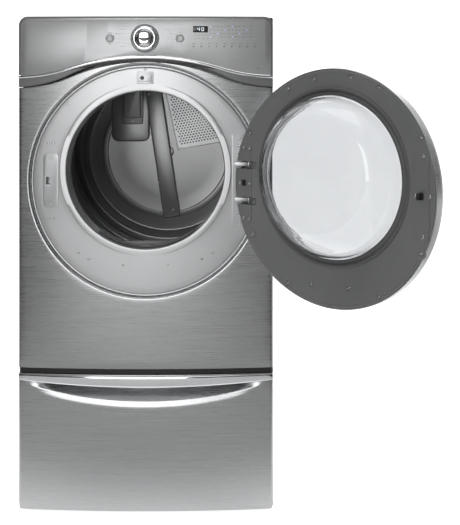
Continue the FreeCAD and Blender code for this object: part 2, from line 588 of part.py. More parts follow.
def console():
    """Moulded console, its overlay and trim, the board behind it and what the user turns and presses."""
    back = f"({EDGE} + dims.console_depth)"
    base = f"({TOP} - dims.console_arch_base)"
    rows = (f"{base} - 5", f"{TOP} + 5")
    reach = (f"{APEX} - 40", f"{back} + 40")
    wall = "dims.console_wall"
    shell = common("console_outside",
                   rounded("console_block", bowed_block("console_solid", "0", HALF, back, rows),
                           "dims.corner_radius", front_corner),
                   pad("console_shape", "XZ", console_outline("0", base, "dims.console_arch_rise",
                                                              "dims.console_corner"), *reach))
    hollow = common("console_inside",
                    rounded("console_void", bowed_block("console_air", wall, f"{HALF} - {wall}",
                                                        f"{back} + 1", rows),
                            f"dims.corner_radius - {wall}", front_corner),
                    pad("console_core", "XZ", console_outline(wall, f"{base} - 4", "dims.console_arch_rise",
                                                              f"dims.console_corner - {wall}"), *reach))
    knob_at = ("0", KNOB_Z)
    shaft_hole = cylinder("knob_hole", "Y", knob_at, 5, reach)
    button_holes = either_side(
        lambda side, i: cylinder(f"button_hole{i}", "Y", (f"{side} * dims.button_spacing", KNOB_Z),
                                 "dims.button_radius + 0.5", reach), -1, 1)
    window_rows = (f"{TOP} - dims.window_drop - dims.window_tall / 2", f"{TOP} - dims.window_drop + "
                                                                       "dims.window_tall / 2")
    window_span = ("dims.window_x - dims.window_wide / 2", "dims.window_x + dims.window_wide / 2")
    window_hole = box("window_hole", window_span, reach, window_rows)
    openings = fuse("console_openings", shaft_hole, window_hole, *button_holes)
    finish("console_frame", cut("console_frame_all", shell, hollow, openings))

    strip_low = f"({TOP} - dims.strip_base)"
    strip_high = f"({strip_low} + dims.strip_tall)"
    overlay = common("overlay_sheet",
                     bowed_sheet("overlay_slab", "-dims.overlay_thickness", "0", f"{HALF} - 2", rows),
                     pad("overlay_shape", "XZ", console_outline("dims.overlay_inset", f"{strip_high} + 1",
                                                                "dims.strip_rise - 1.4",
                                                                "dims.console_corner - dims.overlay_inset"),
                         *reach))
    bezel = tube("knob_bezel", "Y", knob_at, "dims.knob_radius + 3", "dims.knob_radius + 0.6",
                 (f"{OVERLAY_Y} - 2", f"{OVERLAY_Y} + 0.3"))
    finish("console_overlay", cut("console_overlay_all", fuse("overlay_solid", overlay, bezel), openings))

    strip_outline = arch(f"({HALF} - 0.5)", strip_high, "dims.strip_rise - 1.4")
    strip_outline += arch(f"({HALF} - 0.5)", strip_low, "dims.strip_rise", reverse=True)
    finish("console_trim_strip", common("trim_all", bowed_sheet("trim_slab", "-dims.strip_proud", "0",
                                                                f"({HALF} - 0.5)", rows),
                                        pad("trim_shape", "XZ", strip_outline, *reach)))

    finish("display_window", common("window_all",
                                    bowed_sheet("window_slab", "-dims.overlay_thickness", "1.5",
                                                f"{HALF} - 2", rows),
                                    box("window_box", tuple(f"{e} {s} 0.3" for e, s in zip(window_span, "+-")),
                                        reach, tuple(f"{e} {s} 0.3" for e, s in zip(window_rows, "+-")))))

    board_y = f"({APEX} + 24)"
    card = box("board_card", ("-150", "250"), (board_y, f"{board_y} + 1.6"), (f"{TOP} - 95", f"{TOP} - 22"))
    encoder = box("board_encoder", ("-16", "16"), (f"{board_y} - 9", board_y),
                  (f"{KNOB_Z} - 16", f"{KNOB_Z} + 16"))
    display = box("board_display", window_span, (f"{board_y} - 12", board_y), window_rows)
    supply = box("board_supply", ("170", "235"), (f"{board_y} + 1.6", f"{board_y} + 24"), (f"{TOP} - 88",
                                                                                       f"{TOP} - 40"))
    keys = either_side(
        lambda side, i: cylinder(f"board_key{i}", "Y", (f"{side} * dims.button_spacing", KNOB_Z), 5,
                                 (f"{board_y} - 7", board_y)), -1, 1)
    finish("control_board", cut("control_board_all", fuse("board_solid", card, encoder, display, supply,
                                                          *keys),
                                cylinder("encoder_bore", "Y", knob_at, 3.05, (f"{board_y} - 20",
                                                                             f"{board_y} - 0.5"))))

    knob_front = f"({OVERLAY_Y} - dims.knob_depth)"
    skirt = "dims.knob_radius"
    knob = revolve("knob_turned", knob_at,
                   [("0", knob_front), (f"{skirt} * 0.55", f"{knob_front} + 1.2"), (f"{skirt} * 0.84",
                                                                                  f"{knob_front} + 4"),
                    (f"{skirt} * 0.94", f"{knob_front} + 7"), (skirt, f"{OVERLAY_Y} - 3"),
                    (skirt, f"{OVERLAY_Y} - 0.6"), ("0", f"{OVERLAY_Y} - 0.6")])
    shaft = cylinder("knob_shaft", "Y", knob_at, 3, (f"{OVERLAY_Y} - 2", f"{board_y} - 3"))
    finish("control_knob", fuse("control_knob_all", knob, shaft))
    for side, label in ((-1, "power_button"), (1, "start_button")):
        at = (f"{side} * dims.button_spacing", KNOB_Z)
        face_y = bow_at("-dims.overlay_thickness", "dims.button_spacing")
        cap = cylinder(f"{label}_cap", "Y", at, "dims.button_radius", (f"{face_y} - 3", f"{face_y} + 8"))
        stem = cylinder(f"{label}_stem", "Y", at, 3, (f"{face_y} + 7", f"{board_y} - 9.5"))
        finish(label, fuse(f"{label}_all",
                           rounded(f"{label}_round", cap, 1.2,
                                   lambda e: e.Vertexes[0].Point.y < number(face_y) and not upright(e)
                                   and abs(e.Vertexes[0].Point.y - e.Vertexes[-1].Point.y) < 1e-6), stem))


def drum():
    """Drum, its two bulkheads, seals and rollers."""
    axis = ("0", MOUTH_Z)
    inner = "(dims.drum_radius - dims.drum_wall)"
    lip = "(dims.drum_radius - 18)"
    front_y, back_y = "dims.drum_front", "dims.drum_back"
    finish("drum_shell", revolve("drum_turned", axis,
                                 [(lip, front_y), ("dims.drum_radius", front_y), ("dims.drum_radius", back_y),
                                  (lip, back_y), (lip, f"{back_y} - dims.drum_wall"),
                                  (inner, f"{back_y} - dims.drum_wall"),
                                  (inner, f"{front_y} + dims.drum_wall"),
                                  (lip, f"{front_y} + dims.drum_wall")]))

    baffles = []
    crest = f"({inner} - dims.baffle_height)"
    for index, angle in enumerate((115, 235, 355)):
        base_start, base_end = polar(inner, angle + 5.6), polar(inner, angle - 5.6)
        baffles.append(pad(f"baffle{index}", "XZ",
                           [(*base_start, inner, 1), base_end, polar(crest, angle - 2.1),
                            polar(crest, angle + 2.1)],
                           f"{front_y} + 14", f"{back_y} - 14"))
    finish("drum_baffles", fuse("drum_baffles_all", *baffles))

    felts = [tube("felt_front", "Y", axis, "dims.drum_radius - 1.5", "dims.drum_radius - 19",
                  ("dims.bulkhead_front", f"{front_y} - 0.4")),
             tube("felt_back", "Y", axis, "dims.drum_radius - 1.5", "dims.drum_radius - 19",
                  (f"{back_y} + 0.4", "dims.bulkhead_back"))]
    finish("drum_seals", fuse("drum_seals_all", *felts))

    reach = "(dims.drum_radius + dims.rolling_gap + dims.roller_radius)"
    roller_x = f"({reach} * sin(dims.roller_angle * 1deg))"
    roller_z = f"({MOUTH_Z} - {reach} * cos(dims.roller_angle * 1deg))"
    shafts = []
    for end, label, middle, wall in ((0, "front", f"({front_y} + 22)", "dims.bulkhead_front"),
                                     (1, "rear", f"({back_y} - 16)", "dims.bulkhead_back")):
        for side, hand in ((-1, "left"), (1, "right")):
            at = (f"{side} * {roller_x}", roller_z)
            far = f"({middle} + 14)" if end == 0 else f"({middle} - 14)"
            span = (wall, far) if end == 0 else (far, wall)
            collar_span = (wall, f"{middle} - dims.roller_width / 2 - 0.4") if end == 0 else (
                f"{middle} + dims.roller_width / 2 + 0.4", wall)
            shafts.append(cylinder(f"shaft{end}{hand}", "Y", at, "dims.shaft_radius", span))
            shafts.append(cylinder(f"collar{end}{hand}", "Y", at, "dims.shaft_radius + 3", collar_span))
            width = (f"{middle} - dims.roller_width / 2", f"{middle} + dims.roller_width / 2")
            wheel = tube(f"roller{end}{hand}", "Y", at, "dims.roller_radius",
                         "dims.shaft_radius + dims.running_fit", width)
            web = [tube(f"web{end}{hand}{i}", "Y", at, "dims.roller_radius - 7", "dims.shaft_radius + 6",
                        (f"{width[0]} - 1", f"{width[0]} + 5") if i == 0 else (f"{width[1]} - 5",
                                                                               f"{width[1]} + 1"))
                   for i in (0, 1)]
            finish(f"drum_roller_{label}_{hand}", cut(f"drum_roller_{label}_{hand}_all", wheel, *web))
    finish("roller_shafts", fuse("roller_shafts_all", *shafts))

    half = f"({HALF} - dims.steel - 6)"
    plate = box("front_bulkhead_sheet", (f"-{half}", half), ("dims.bulkhead_front - dims.steel",
                                                             "dims.bulkhead_front"),
                (BASE_TOP, f"{TOP} - 55"))
    hole = cylinder("front_bulkhead_hole", "Y", axis, "dims.mouth_radius + dims.steel + 0.4",
                    ("dims.bulkhead_front - 80", "dims.bulkhead_front + 5"))
    inlet_radius = "(dims.blower_radius - 26)"
    inlet = cylinder("inlet_hole", "Y", ("dims.motor_x", MOTOR_Z), inlet_radius,
                     ("dims.bulkhead_front - 3", "dims.bulkhead_front + 3"))
    wall = 1.6
    half_slot = "(dims.filter_width / 2 + dims.slot_clearance)"
    chute_front = "(dims.filter_y - dims.filter_thickness / 2 - dims.slot_clearance)"
    knee = f"({MOTOR_Z} + 66)"
    sill = f"({BASE_TOP} + 4)"
    left = f"(dims.motor_x - {inlet_radius} - 6)"
    mid_z = f"({MOUTH_Z} - 60)"
    back = "dims.bulkhead_front"
    upper = box("chute_upper", (f"-{half_slot} - {wall}", f"{half_slot} + {wall}"),
                (f"{chute_front} - {wall}", back),
                (f"{knee} - 30", mid_z))
    lower = box("chute_lower", (f"{left} - {wall}", f"{half_slot} + {wall}"),
                (f"{chute_front} - {wall}", back),
                (f"{sill} - {wall}", knee))
    air_back = f"{back} - dims.steel"
    upper_air = box("chute_upper_air", (f"-{half_slot}", half_slot), (chute_front, air_back), (f"{knee} - 40",
                                                                                          f"{mid_z} + 5"))
    lower_air = box("chute_lower_air", (left, half_slot), (chute_front, air_back), (sill, f"{knee} - {wall}"))
    finish("front_bulkhead", cut("front_bulkhead_all", fuse("front_bulkhead_solid", plate, upper, lower),
                                 fuse("front_bulkhead_voids", hole, inlet, upper_air, lower_air)))

    step = "(dims.dish_radius - 23)"
    sheet_y = "dims.bulkhead_back"
    thick = "dims.steel"
    plate = cut("rear_bulkhead_flat",
                box("rear_bulkhead_sheet", (f"-{half}", half), (sheet_y, f"{sheet_y} + {thick}"),
                    (BASE_TOP, f"{TOP} - 30")),
                cylinder("dish_hole", "Y", axis, "dims.dish_radius", (f"{sheet_y} - 5", f"{sheet_y} + 5")))
    dish = revolve("dish", axis, [("0", DISH_Y), (step, DISH_Y), ("dims.dish_radius", sheet_y),
                                  ("dims.dish_radius + 1", f"{sheet_y} + {thick}"),
                                  (f"{step} + 1", f"{DISH_Y} + {thick}"), ("0", f"{DISH_Y} + {thick}")])
    boss = rounded("lamp_boss", box("lamp_boss_box", ("-185", "-60"), (f"{DISH_Y} - 8", f"{DISH_Y} + 0.5"),
                                    (f"{MOUTH_Z} + 34", f"{MOUTH_Z} + 239")), 24,
                   lambda e: abs(e.Vertexes[0].Point.y - e.Vertexes[-1].Point.y) > 1)
    rib = pad("rib", "XZ", [("-78", f"{MOUTH_Z} + 215"), ("-14", f"{MOUTH_Z} - 218"),
                            ("42", f"{MOUTH_Z} - 208"),
                            ("-22", f"{MOUTH_Z} + 222")], f"{DISH_Y} - 10", f"{DISH_Y} + 0.5")
    sector = grille_outline("0")
    opening = pad("grille_opening", "XZ", sector, f"{DISH_Y} - 20", f"{DISH_Y} + 20")
    through = (f"{sheet_y} - 10", f"{sheet_y} + 10")
    duct_hole = cylinder("bulkhead_duct_hole", "Y", ("dims.duct_x", DUCT_Z), "dims.duct_radius + 1.5",
                         through)
    heater_hole = box("bulkhead_heater_hole", ("144.5", "307.5"), through,
                      (f"{BASE_TOP} + 2", f"{BASE_TOP} + 148"))
    finish("rear_bulkhead", cut("rear_bulkhead_all", fuse("rear_bulkhead_solid", plate, dish, boss, rib),
                                opening,
                                duct_hole, heater_hole))

    grille_y = (f"{DISH_Y} - 3", f"{DISH_Y} + {thick}")
    disc = pad("grille_plate", "XZ", grille_outline("-0.5"), f"{DISH_Y} - 1", f"{DISH_Y} + 0.2")
    border = cut("grille_border", pad("grille_rim", "XZ", grille_outline("-0.5"), *grille_y),
                 pad("grille_inside", "XZ", grille_outline("-7"), f"{DISH_Y} - 9", f"{DISH_Y} + 9"))
    holes = []
    pitch = number("dims.grille_pitch") * 2
    for row in range(1, 12):
        for column in range(0, 12):
            x = 28 + column * pitch + (row % 2) * pitch / 2 - row * pitch * 0.2
            z = 14 + row * pitch * 0.87 + column * pitch * 0.17
            if math.hypot(x, z) < number("dims.grille_radius") - 18 and x > 40 - 0.21 * z and z > 20 + 0.18 * x - 6:
                holes.append(cylinder(f"grille_hole{row}_{column}", "Y", (f"{x:.2f}", f"{MOUTH_Z} + {z:.2f}"),
                                      "dims.grille_hole", (f"{DISH_Y} - 5", f"{DISH_Y} + 5")))
    finish("air_grille", cut("air_grille_all", fuse("grille_solid", disc, border), *holes))

    case = rounded("lamp_case", box("lamp_box", ("-149", "-80"), (f"{DISH_Y} - 22", f"{DISH_Y} - 8"),
                                    (f"{MOUTH_Z} + 91", f"{MOUTH_Z} + 219")), 8,
                   lambda e: abs(e.Vertexes[0].Point.y - e.Vertexes[-1].Point.y) > 1)
    finish("drum_lamp", cut("drum_lamp_all", case,
                            box("lamp_void", ("-140", "-89"), (f"{DISH_Y} - 19", f"{DISH_Y} - 7"),
                                (f"{MOUTH_Z} + 100", f"{MOUTH_Z} + 210"))))


def grille_outline(offset):
    """The air grille's sector: a corner near the drum's axis and a round edge. offset grows it."""
    radius = f"(dims.grille_radius + {offset})"
    corner = (f"32 - 0.7 * ({offset})", f"{MOUTH_Z} + 6 - 0.9 * ({offset})")
    return [corner, (*polar(radius, 10.35), radius, -1), polar(radius, 92.96)]


def hull(name, wheels, grow, span):
    """What a band round the wheels encloses: (x, z, radius) of each, with the hull on the left."""
    solids = [cylinder(f"{name}_wheel{i}", "Y", (x, z), f"({r}) + {grow}", span) for i,
              (x, z, r) in enumerate(wheels)]
    outline = []
    for index, (x1, z1, r1) in enumerate(wheels):
        x2, z2, r2 = wheels[(index + 1) % len(wheels)]
        dx, dz = f"(({x2}) - ({x1}))", f"(({z2}) - ({z1}))"
        length = f"sqrt({dx}^2 + {dz}^2)"
        share = f"((({r1}) - ({r2})) / {length})"
        side = f"sqrt(1 - {share}^2)"
        nx = f"(({share} * {dx} + {side} * {dz}) / {length})"
        nz = f"(({share} * {dz} - {side} * {dx}) / {length})"
        for x, z, r in ((x1, z1, r1), (x2, z2, r2)):
            outline.append((f"({x}) + (({r}) + {grow}) * {nx}", f"({z}) + (({r}) + {grow}) * {nz}"))
    return fuse(name, pad(f"{name}_core", "XZ", outline, *span), *solids)


def drive():
    """Motor, belt and idler under the drum; blower, exhaust duct, heater and lint filter."""
    motor_at = ("dims.motor_x", MOTOR_Z)
    case_y = (f"dims.blower_back + 22", "dims.belt_y - 50")
    case = cylinder("motor_case", "Y", motor_at, "dims.motor_radius", case_y)
    caps = [cylinder(f"motor_cap{i}", "Y", motor_at, "dims.motor_radius - 18", span)
            for i, span in enumerate(((f"{case_y[0]} - 10", f"{case_y[0]} + 1"), (f"{case_y[1]} - 1",
                                                                                 f"{case_y[1]} + 10")))]
    stand = box("motor_stand", ("dims.motor_x - 44", "dims.motor_x + 44"),
                (f"{case_y[0]} + 30", f"{case_y[1]} - 30"),
                (BASE_TOP, MOTOR_Z))
    fit = "dims.shaft_radius + dims.running_fit"
    finish("motor", cut("motor_all", fuse("motor_solid", case, stand, *caps),
                        cylinder("motor_bore", "Y", motor_at, fit,
                                 (f"{case_y[0]} - 20", f"{case_y[1]} + 20"))))
    belt_low, belt_high = "(dims.belt_y - dims.belt_width / 2)", "(dims.belt_y + dims.belt_width / 2)"
    shaft = cylinder("rotor_shaft", "Y", motor_at, "dims.shaft_radius",
                     ("dims.blower_front + 14", f"{belt_high} + 5"))
    pulley = cylinder("rotor_pulley", "Y", motor_at, "dims.pulley_radius",
                      (f"{belt_low} - 4", f"{belt_high} + 4"))
    flanges = [cylinder(f"rotor_flange{i}", "Y", motor_at, "dims.pulley_radius + 4", span)
               for i, span in enumerate(((f"{belt_low} - 4", f"{belt_low} - 1.5"), (f"{belt_high} + 1.5",
                                                                                   f"{belt_high} + 4")))]
    finish("motor_shaft", fuse("motor_shaft_all", shaft, pulley, *flanges))

    wheel_y = ("dims.blower_front + 14", "dims.blower_back - 8")
    tip = "(dims.blower_radius - 14)"
    disc = cylinder("wheel_disc", "Y", motor_at, tip, (f"{wheel_y[1]} - 2.5", wheel_y[1]))
    ring = tube("wheel_ring", "Y", motor_at, tip, f"{tip} - 8", (wheel_y[0], f"{wheel_y[0]} + 2.5"))
    hub = cylinder("wheel_hub", "Y", motor_at, "dims.shaft_radius + 6", (f"{wheel_y[0]} + 12", wheel_y[1]))
    blades = []
    for index in range(12):
        blade = box(f"blade{index}", (f"{tip} * 0.45", f"{tip} - 0.5"), ("-1", "1"),
                    ("0", f"{wheel_y[1]} - ({wheel_y[0]})"))
        blade.Placement.Rotation = FreeCAD.Rotation(FreeCAD.Vector(1, 0, 0), -90)
        blade.setExpression("Placement", f"placement(vector(dims.motor_x; {wheel_y[0]}; {MOTOR_Z}); "
                                         f"rotation(vector(0; 1; 0); {index * 30})) * placement(vector({tip} * 0.45; 0; "
                                         "1); rotation(vector(1; 0; 0); -90))")
        blades.append(blade)
    finish("blower_wheel", cut("blower_wheel_all", fuse("wheel_solid", disc, ring, hub, *blades),
                               cylinder("wheel_bore", "Y", motor_at, "dims.shaft_radius",
                                        (f"{wheel_y[0]} - 5",
                                                                                           f"{wheel_y[1]} + 5"))))

    wall = 2
    outlet_right = "(dims.duct_x + dims.duct_radius + 6)"
    outlet_low, outlet_high = f"({MOTOR_Z} - dims.blower_radius)", f"({DUCT_Z} + dims.duct_radius + 4)"
    front_y, back_y = "dims.blower_front", "dims.blower_back"
    outer = fuse("blower_outer", cylinder("volute", "Y", motor_at, "dims.blower_radius", (front_y, back_y)),
                 box("outlet", ("dims.motor_x", outlet_right), (front_y, back_y), (outlet_low, outlet_high)))
    hollow = fuse("blower_hollow",
                  cylinder("volute_air", "Y", motor_at, f"dims.blower_radius - {wall}",
                           (f"{front_y} + {wall}",
                                                                                        f"{back_y} - {wall}")),
                  box("outlet_air", ("dims.motor_x", f"{outlet_right} - {wall}"), (f"{front_y} + {wall}",
                                                                                f"{back_y} - {wall}"),
                      (f"{outlet_low} + {wall}", f"{outlet_high} - {wall}")))
    mouth = cylinder("blower_mouth", "Y", motor_at, "dims.blower_radius - 26", ("dims.bulkhead_front - 1",
                                                                               f"{front_y} + 5"))
    snout = tube("blower_snout", "Y", motor_at, "dims.blower_radius - 24", "dims.blower_radius - 26",
                 ("dims.bulkhead_front", f"{front_y} + 1"))
    shaft_hole = cylinder("blower_shaft_hole", "Y", motor_at, "dims.shaft_radius + 2", (f"{back_y} - 5",
                                                                                       f"{back_y} + 5"))
    duct_at = ("dims.duct_x", DUCT_Z)
    duct_hole = cylinder("blower_duct_hole", "Y", duct_at, "dims.duct_radius",
                         (f"{back_y} - 5", f"{back_y} + 5"))
    finish("blower_housing", cut("blower_housing_all", fuse("blower_solid", outer, snout), hollow, mouth,
                                 shaft_hole,
                                 duct_hole))
    duct_y = (f"{back_y} - {wall}", f"{BACK} + dims.duct_spigot")
    pipe = tube("exhaust_pipe", "Y", duct_at, "dims.duct_radius", "dims.duct_radius - dims.duct_wall", duct_y)
    bead = tube("exhaust_bead", "Y", duct_at, "dims.duct_radius + 0.7",
                "dims.duct_radius - dims.duct_wall / 2",
                (f"{BACK} - 4", BACK))
    finish("exhaust_duct", fuse("exhaust_duct_all", pipe, bead))

    idler_at = ("dims.idler_x", IDLER_Z)
    pivot = ("dims.idler_x - 55", f"{IDLER_Z} - 28")
    plate_y = ("dims.belt_y + 12", "dims.belt_y + 15")
    link = hull("idler_link", [(*pivot, "9"), (*idler_at, "9")], "0", plate_y)
    wheel_pin = cylinder("idler_pin", "Y", idler_at, 4, ("dims.belt_y - 9", "dims.belt_y + 13"))
    finish("idler_arm", cut("idler_arm_all", fuse("idler_arm_solid", link, wheel_pin),
                            cylinder("idler_arm_bore", "Y", pivot, "4 + dims.running_fit",
                                     ("dims.belt_y", "dims.belt_y"
                                                                                            " + 30"))))
    finish("idler_wheel", tube("idler_wheel_all", "Y", idler_at, "dims.idler_radius", "4 + dims.running_fit",
                               ("dims.belt_y - 7.5", "dims.belt_y + 7.5")))

    gap = "dims.rolling_gap"
    wheels = [("0", MOUTH_Z, "dims.drum_radius"), (*motor_at, "dims.pulley_radius"),
              (*idler_at, "dims.idler_radius")]
    span = (belt_low, belt_high)
    finish("drum_belt", cut("drum_belt_all", hull("belt_outside", wheels, f"({gap} + dims.belt_thickness)",
                                                  span),
                            hull("belt_inside", wheels, gap, (f"{belt_low} - 1", f"{belt_high} + 1"))))

    box_x, box_y, box_z = ("146", "306"), ("40", f"{BACK} - 5"), (f"{BASE_TOP} + 4", f"{BASE_TOP} + 146")
    rise_x, rise_y, rise_z = ("-14", "222"), (f"{DISH_Y} + 2.5", f"{BACK} - 5"), (f"{BASE_TOP} + 112",
                                                                                f"{MOUTH_Z} + 222")
    inset = lambda pair, amount: (f"{pair[0]} + {amount}", f"{pair[1]} - {amount}")
    solid = fuse("heater_solid", box("heater_box", box_x, box_y, box_z),
                 box("riser_box", rise_x, rise_y, rise_z))
    air = fuse("heater_air",
               box("heater_box_air", inset(box_x, 1.2), (f"{box_y[0]} - 5", f"{box_y[1]} - 1.2"),
                   inset(box_z, 1.2)),
               box("riser_air", inset(rise_x, 1.2), inset(rise_y, 1.2), inset(rise_z, 1.2)),
               pad("riser_window", "XZ", grille_outline("2"), f"{DISH_Y} + 1", f"{DISH_Y} + 8"))
    feet = [box(f"heater_foot{i}", ("221", "231"), (y, f"{y} + 10"), (BASE_TOP, f"{BASE_TOP} + 5"))
            for i, y in enumerate(("60", "280"))]
    finish("heater_duct", fuse("heater_duct_all", cut("heater_sheet", solid, air), *feet))
    coil = []
    for index in range(9):
        ring = doc.addObject("Part::Torus", f"coil{index}")
        ring.Radius1, ring.Radius2 = 44, 2.5
        ring.Placement.Rotation = FreeCAD.Rotation(FreeCAD.Vector(1, 0, 0), 90)
        coil.append(place(ring, "226", f"{70 + 24 * index}", f"{BASE_TOP} + 75"))
    for index, side in enumerate((-1, 1)):
        coil.append(box(f"coil_rail{index}", ("223", "229"), ("66", "330"),
                        (f"{BASE_TOP} + 75 + {side} * 46 - 3", f"{BASE_TOP} + 75 + {side} * 46 + 3")))
    coil.append(box("coil_holder", ("223", "229"), ("327", "330"),
                    (f"{BASE_TOP} + 5.2", f"{BASE_TOP} + 121")))
    finish("heating_coil", fuse("heating_coil_all", *coil))

    half = "(dims.filter_width / 2)"
    low = f"({MOUTH_Z} - dims.mouth_radius - dims.filter_tall)"
    y_span = ("dims.filter_y - dims.filter_thickness / 2", "dims.filter_y + dims.filter_thickness / 2")
    cap_radius = "(dims.mouth_radius - 0.6)"
    blade = cut("filter_block", box("filter_box", (f"-{half}", half), y_span, (low, f"{MOUTH_Z} - 100")),
                box("filter_air", (f"8 - {half}", f"{half} - 8"), (f"{y_span[0]} + 3", f"{y_span[1]} - 3"),
                    (f"{low} + 6", f"{MOUTH_Z} - 90")))
    below = cylinder("filter_trim", "Y", ("0", MOUTH_Z), f"{cap_radius} - 1",
                     (f"{y_span[0]} - 5", f"{y_span[1]} + 5"))
    cap = common("filter_cap",
                 tube("filter_cap_ring", "Y", ("0", MOUTH_Z), cap_radius, f"{cap_radius} - 3",
                      (f"{y_span[0]} - 10", f"{y_span[1]} + 10")),
                 box("filter_cap_box", (f"-{half} - 10", f"{half} + 10"),
                     (f"{y_span[0]} - 20", f"{y_span[1]} + 20"),
                     (low, f"{MOUTH_Z} - 60")))
    windows = [box(f"filter_window{i}", (f"-{half} + 14 + {i} * 54", f"-{half} + 14 + {i} * 54 + 46"),
                   (f"{y_span[0]} - 5", f"{y_span[1]} + 5"), (f"{low} + 14",
                                                              f"{low} + dims.filter_tall - 40"))
               for i in range(4)]
    finish("lint_filter", fuse("lint_filter_all", cut("filter_body", blade, below, *windows), cap))


def door():
    """The door's parts, modelled closed. swing() turns them to where the door stands open."""
    centre, mouth = ("0", DOOR_Z), ("0", MOUTH_Z)
    reach = (f"{APEX} - 120", f"{EDGE} + 60")
    wide = "(dims.door_radius + 5)"
    rows = (f"{DOOR_Z} - {wide}", f"{DOOR_Z} + {wide}")

    def slab(name, near, far):
        return bowed_sheet(name, near, far, wide, rows)

    def arm_slots(name):
        cuts = []
        for index, side in enumerate((-1, 1)):
            middle = f"({DOOR_Z} + {side} * dims.hinge_spacing / 2)"
            cuts.append(box(f"{name}_slot{index}", ("dims.hinge_x - dims.hinge_reach - 8",
                                                    "dims.door_radius + 20"),
                            (f"{HINGE_Y} + 5", f"{EDGE} + 40"),
                            (f"{middle} - 10", f"{middle} + 10 + {0.4 * index}")))
        return cuts

    wall = "dims.door_wall"
    rim_back = "(-dims.door_standoff)"
    rim_front = "(-dims.door_standoff - dims.door_thickness)"
    liner_back = "(-dims.liner_standoff)"
    liner_front = f"({liner_back} - {wall})"
    rim = common("rim_block", slab("rim_slab", rim_front, rim_back), cylinder("rim_disc", "Y", centre,
                                                                            "dims.door_radius", reach))
    rim = rounded("rim_round", rim, 6, lambda e: abs(math.hypot(e.Vertexes[0].Point.x, e.Vertexes[0].Point.z
                                                                - number(DOOR_Z)) - number("dims.door_radius")) < 0.1
                  and not abs(e.Vertexes[0].Point.y - e.Vertexes[-1].Point.y) > 20
                  and e.CenterOfMass.y < number(f"{APEX} - 12"))
    hollow = common("rim_hollow", slab("rim_air", f"{rim_front} + {wall}", "20"),
                    cylinder("rim_void", "Y", centre, f"dims.door_radius - {wall}", reach))
    funnel = common("funnel", slab("funnel_slab", rim_front, liner_front),
                    tube("funnel_tube", "Y", mouth, "dims.window_radius + 3", "dims.window_radius - 4",
                         reach))
    seat = common("window_seat", slab("seat_slab", f"{rim_front} - 5", f"{rim_front} + 4.5"),
                  cylinder("seat_disc", "Y", mouth, "dims.window_radius + 0.3", reach))
    front_hole = common("front_hole", slab("front_hole_slab", f"{rim_front} - 5", f"{rim_front} + 10"),
                        cylinder("front_hole_disc", "Y", mouth, "dims.window_radius - 4", reach))
    slotted = cut("frame_slotted", cut("frame_shell", rim, hollow), *arm_slots("frame"))
    swing("door_frame", cut("door_frame_all", fuse("frame_solid", slotted, funnel), seat, front_hole))

    swing("door_window", common("door_window_all", slab("window_glass_slab", f"{rim_front} + 0.8",
                                                        f"{rim_front} + "
                                                                                                   "4.5"),
                                cylinder("window_glass_disc", "Y", mouth, "dims.window_radius", reach)))

    plate = common("liner_plate", slab("liner_slab", liner_front, liner_back),
                   cylinder("liner_disc", "Y", centre, "dims.liner_radius", reach))
    skirt = common("liner_skirt", slab("liner_skirt_slab", f"{liner_back} - 22", liner_back),
                   tube("liner_tube", "Y", centre, "dims.liner_radius", f"dims.liner_radius - {wall}", reach))
    bore = cylinder("liner_bore", "Y", mouth, "dims.bowl_radius + 2.5", reach)
    swing("door_liner", cut("door_liner_all", fuse("liner_solid", plate, skirt), bore, *arm_slots("liner")))

    covers = []
    for index, span in enumerate((("2 - dims.liner_radius", "30 - dims.latch_x"),
                                  ("dims.hinge_x - dims.hinge_reach + 5", "dims.liner_radius - 2"))):
        block = rounded(f"cover_block{index}", box(f"cover_box{index}", span, reach, (f"{DOOR_Z} - 108",
                                                                                    f"{DOOR_Z} + 108")), 14,
                        lambda e: abs(e.Vertexes[0].Point.y - e.Vertexes[-1].Point.y) > 50)
        covers.append(common(f"cover{index}", block, slab(f"cover_slab{index}", liner_back,
                                                          f"{liner_back} + 1.8"),
                             cylinder(f"cover_disc{index}", "Y", centre, "dims.liner_radius - 2.5", reach)))
    covers_solid = fuse("covers_solid", *covers)
    swing("door_covers", cut("door_covers_all", covers_solid, *arm_slots("cover")))

    rim_y = f"({APEX} - dims.door_standoff - 0.7)"
    shares = ((-14.5, 1, 0), (10, 0.99, 0), (dims_bowl(0.55), 0.925, 0.25), (dims_bowl(0.87), 0.84, 0.75),
              (dims_bowl(1), None, 1))
    rings = []
    for at, share, lift in shares:
        radius = "dims.bowl_end_radius" if share is None else f"dims.bowl_radius * {share}"
        rings.append((f"{COLLAR_Y} + {at}", radius, f"{MOUTH_Z} + dims.bowl_end_rise * {lift}"))
    inner = [(f"{y} - {0 if i == 0 else 1} * dims.bowl_wall", f"{radius} - dims.bowl_wall", z)
             for i, (y, radius, z) in enumerate(rings)]
    inner[0] = (f"{rings[0][0]} - 3", inner[0][1], inner[0][2])
    flange_y = (f"{COLLAR_Y} - 17.5", f"{COLLAR_Y} - 14")
    flange = cylinder("bowl_flange", "Y", mouth, "dims.bowl_radius + 9", flange_y)
    swing("door_bowl", cut("door_bowl_all", fuse("bowl_solid", loft("bowl_outer", rings), flange),
                           fuse("bowl_void", loft("bowl_inner", inner),
                                cylinder("bowl_flange_bore", "Y", mouth, "dims.bowl_radius - dims.bowl_wall",
                                         (f"{flange_y[0]} - 1", f"{flange_y[1]} + 0.5")))))

    ring = tube("seal_ring", "Y", mouth, "dims.seal_radius", "dims.bowl_radius + 2.5", (f"{APEX} - 30",
                                                                                       f"{COLLAR_Y} - dims.seal_gap"))
    swing("door_seal", common("door_seal_all", ring, slab("seal_slab", liner_back, "60")))

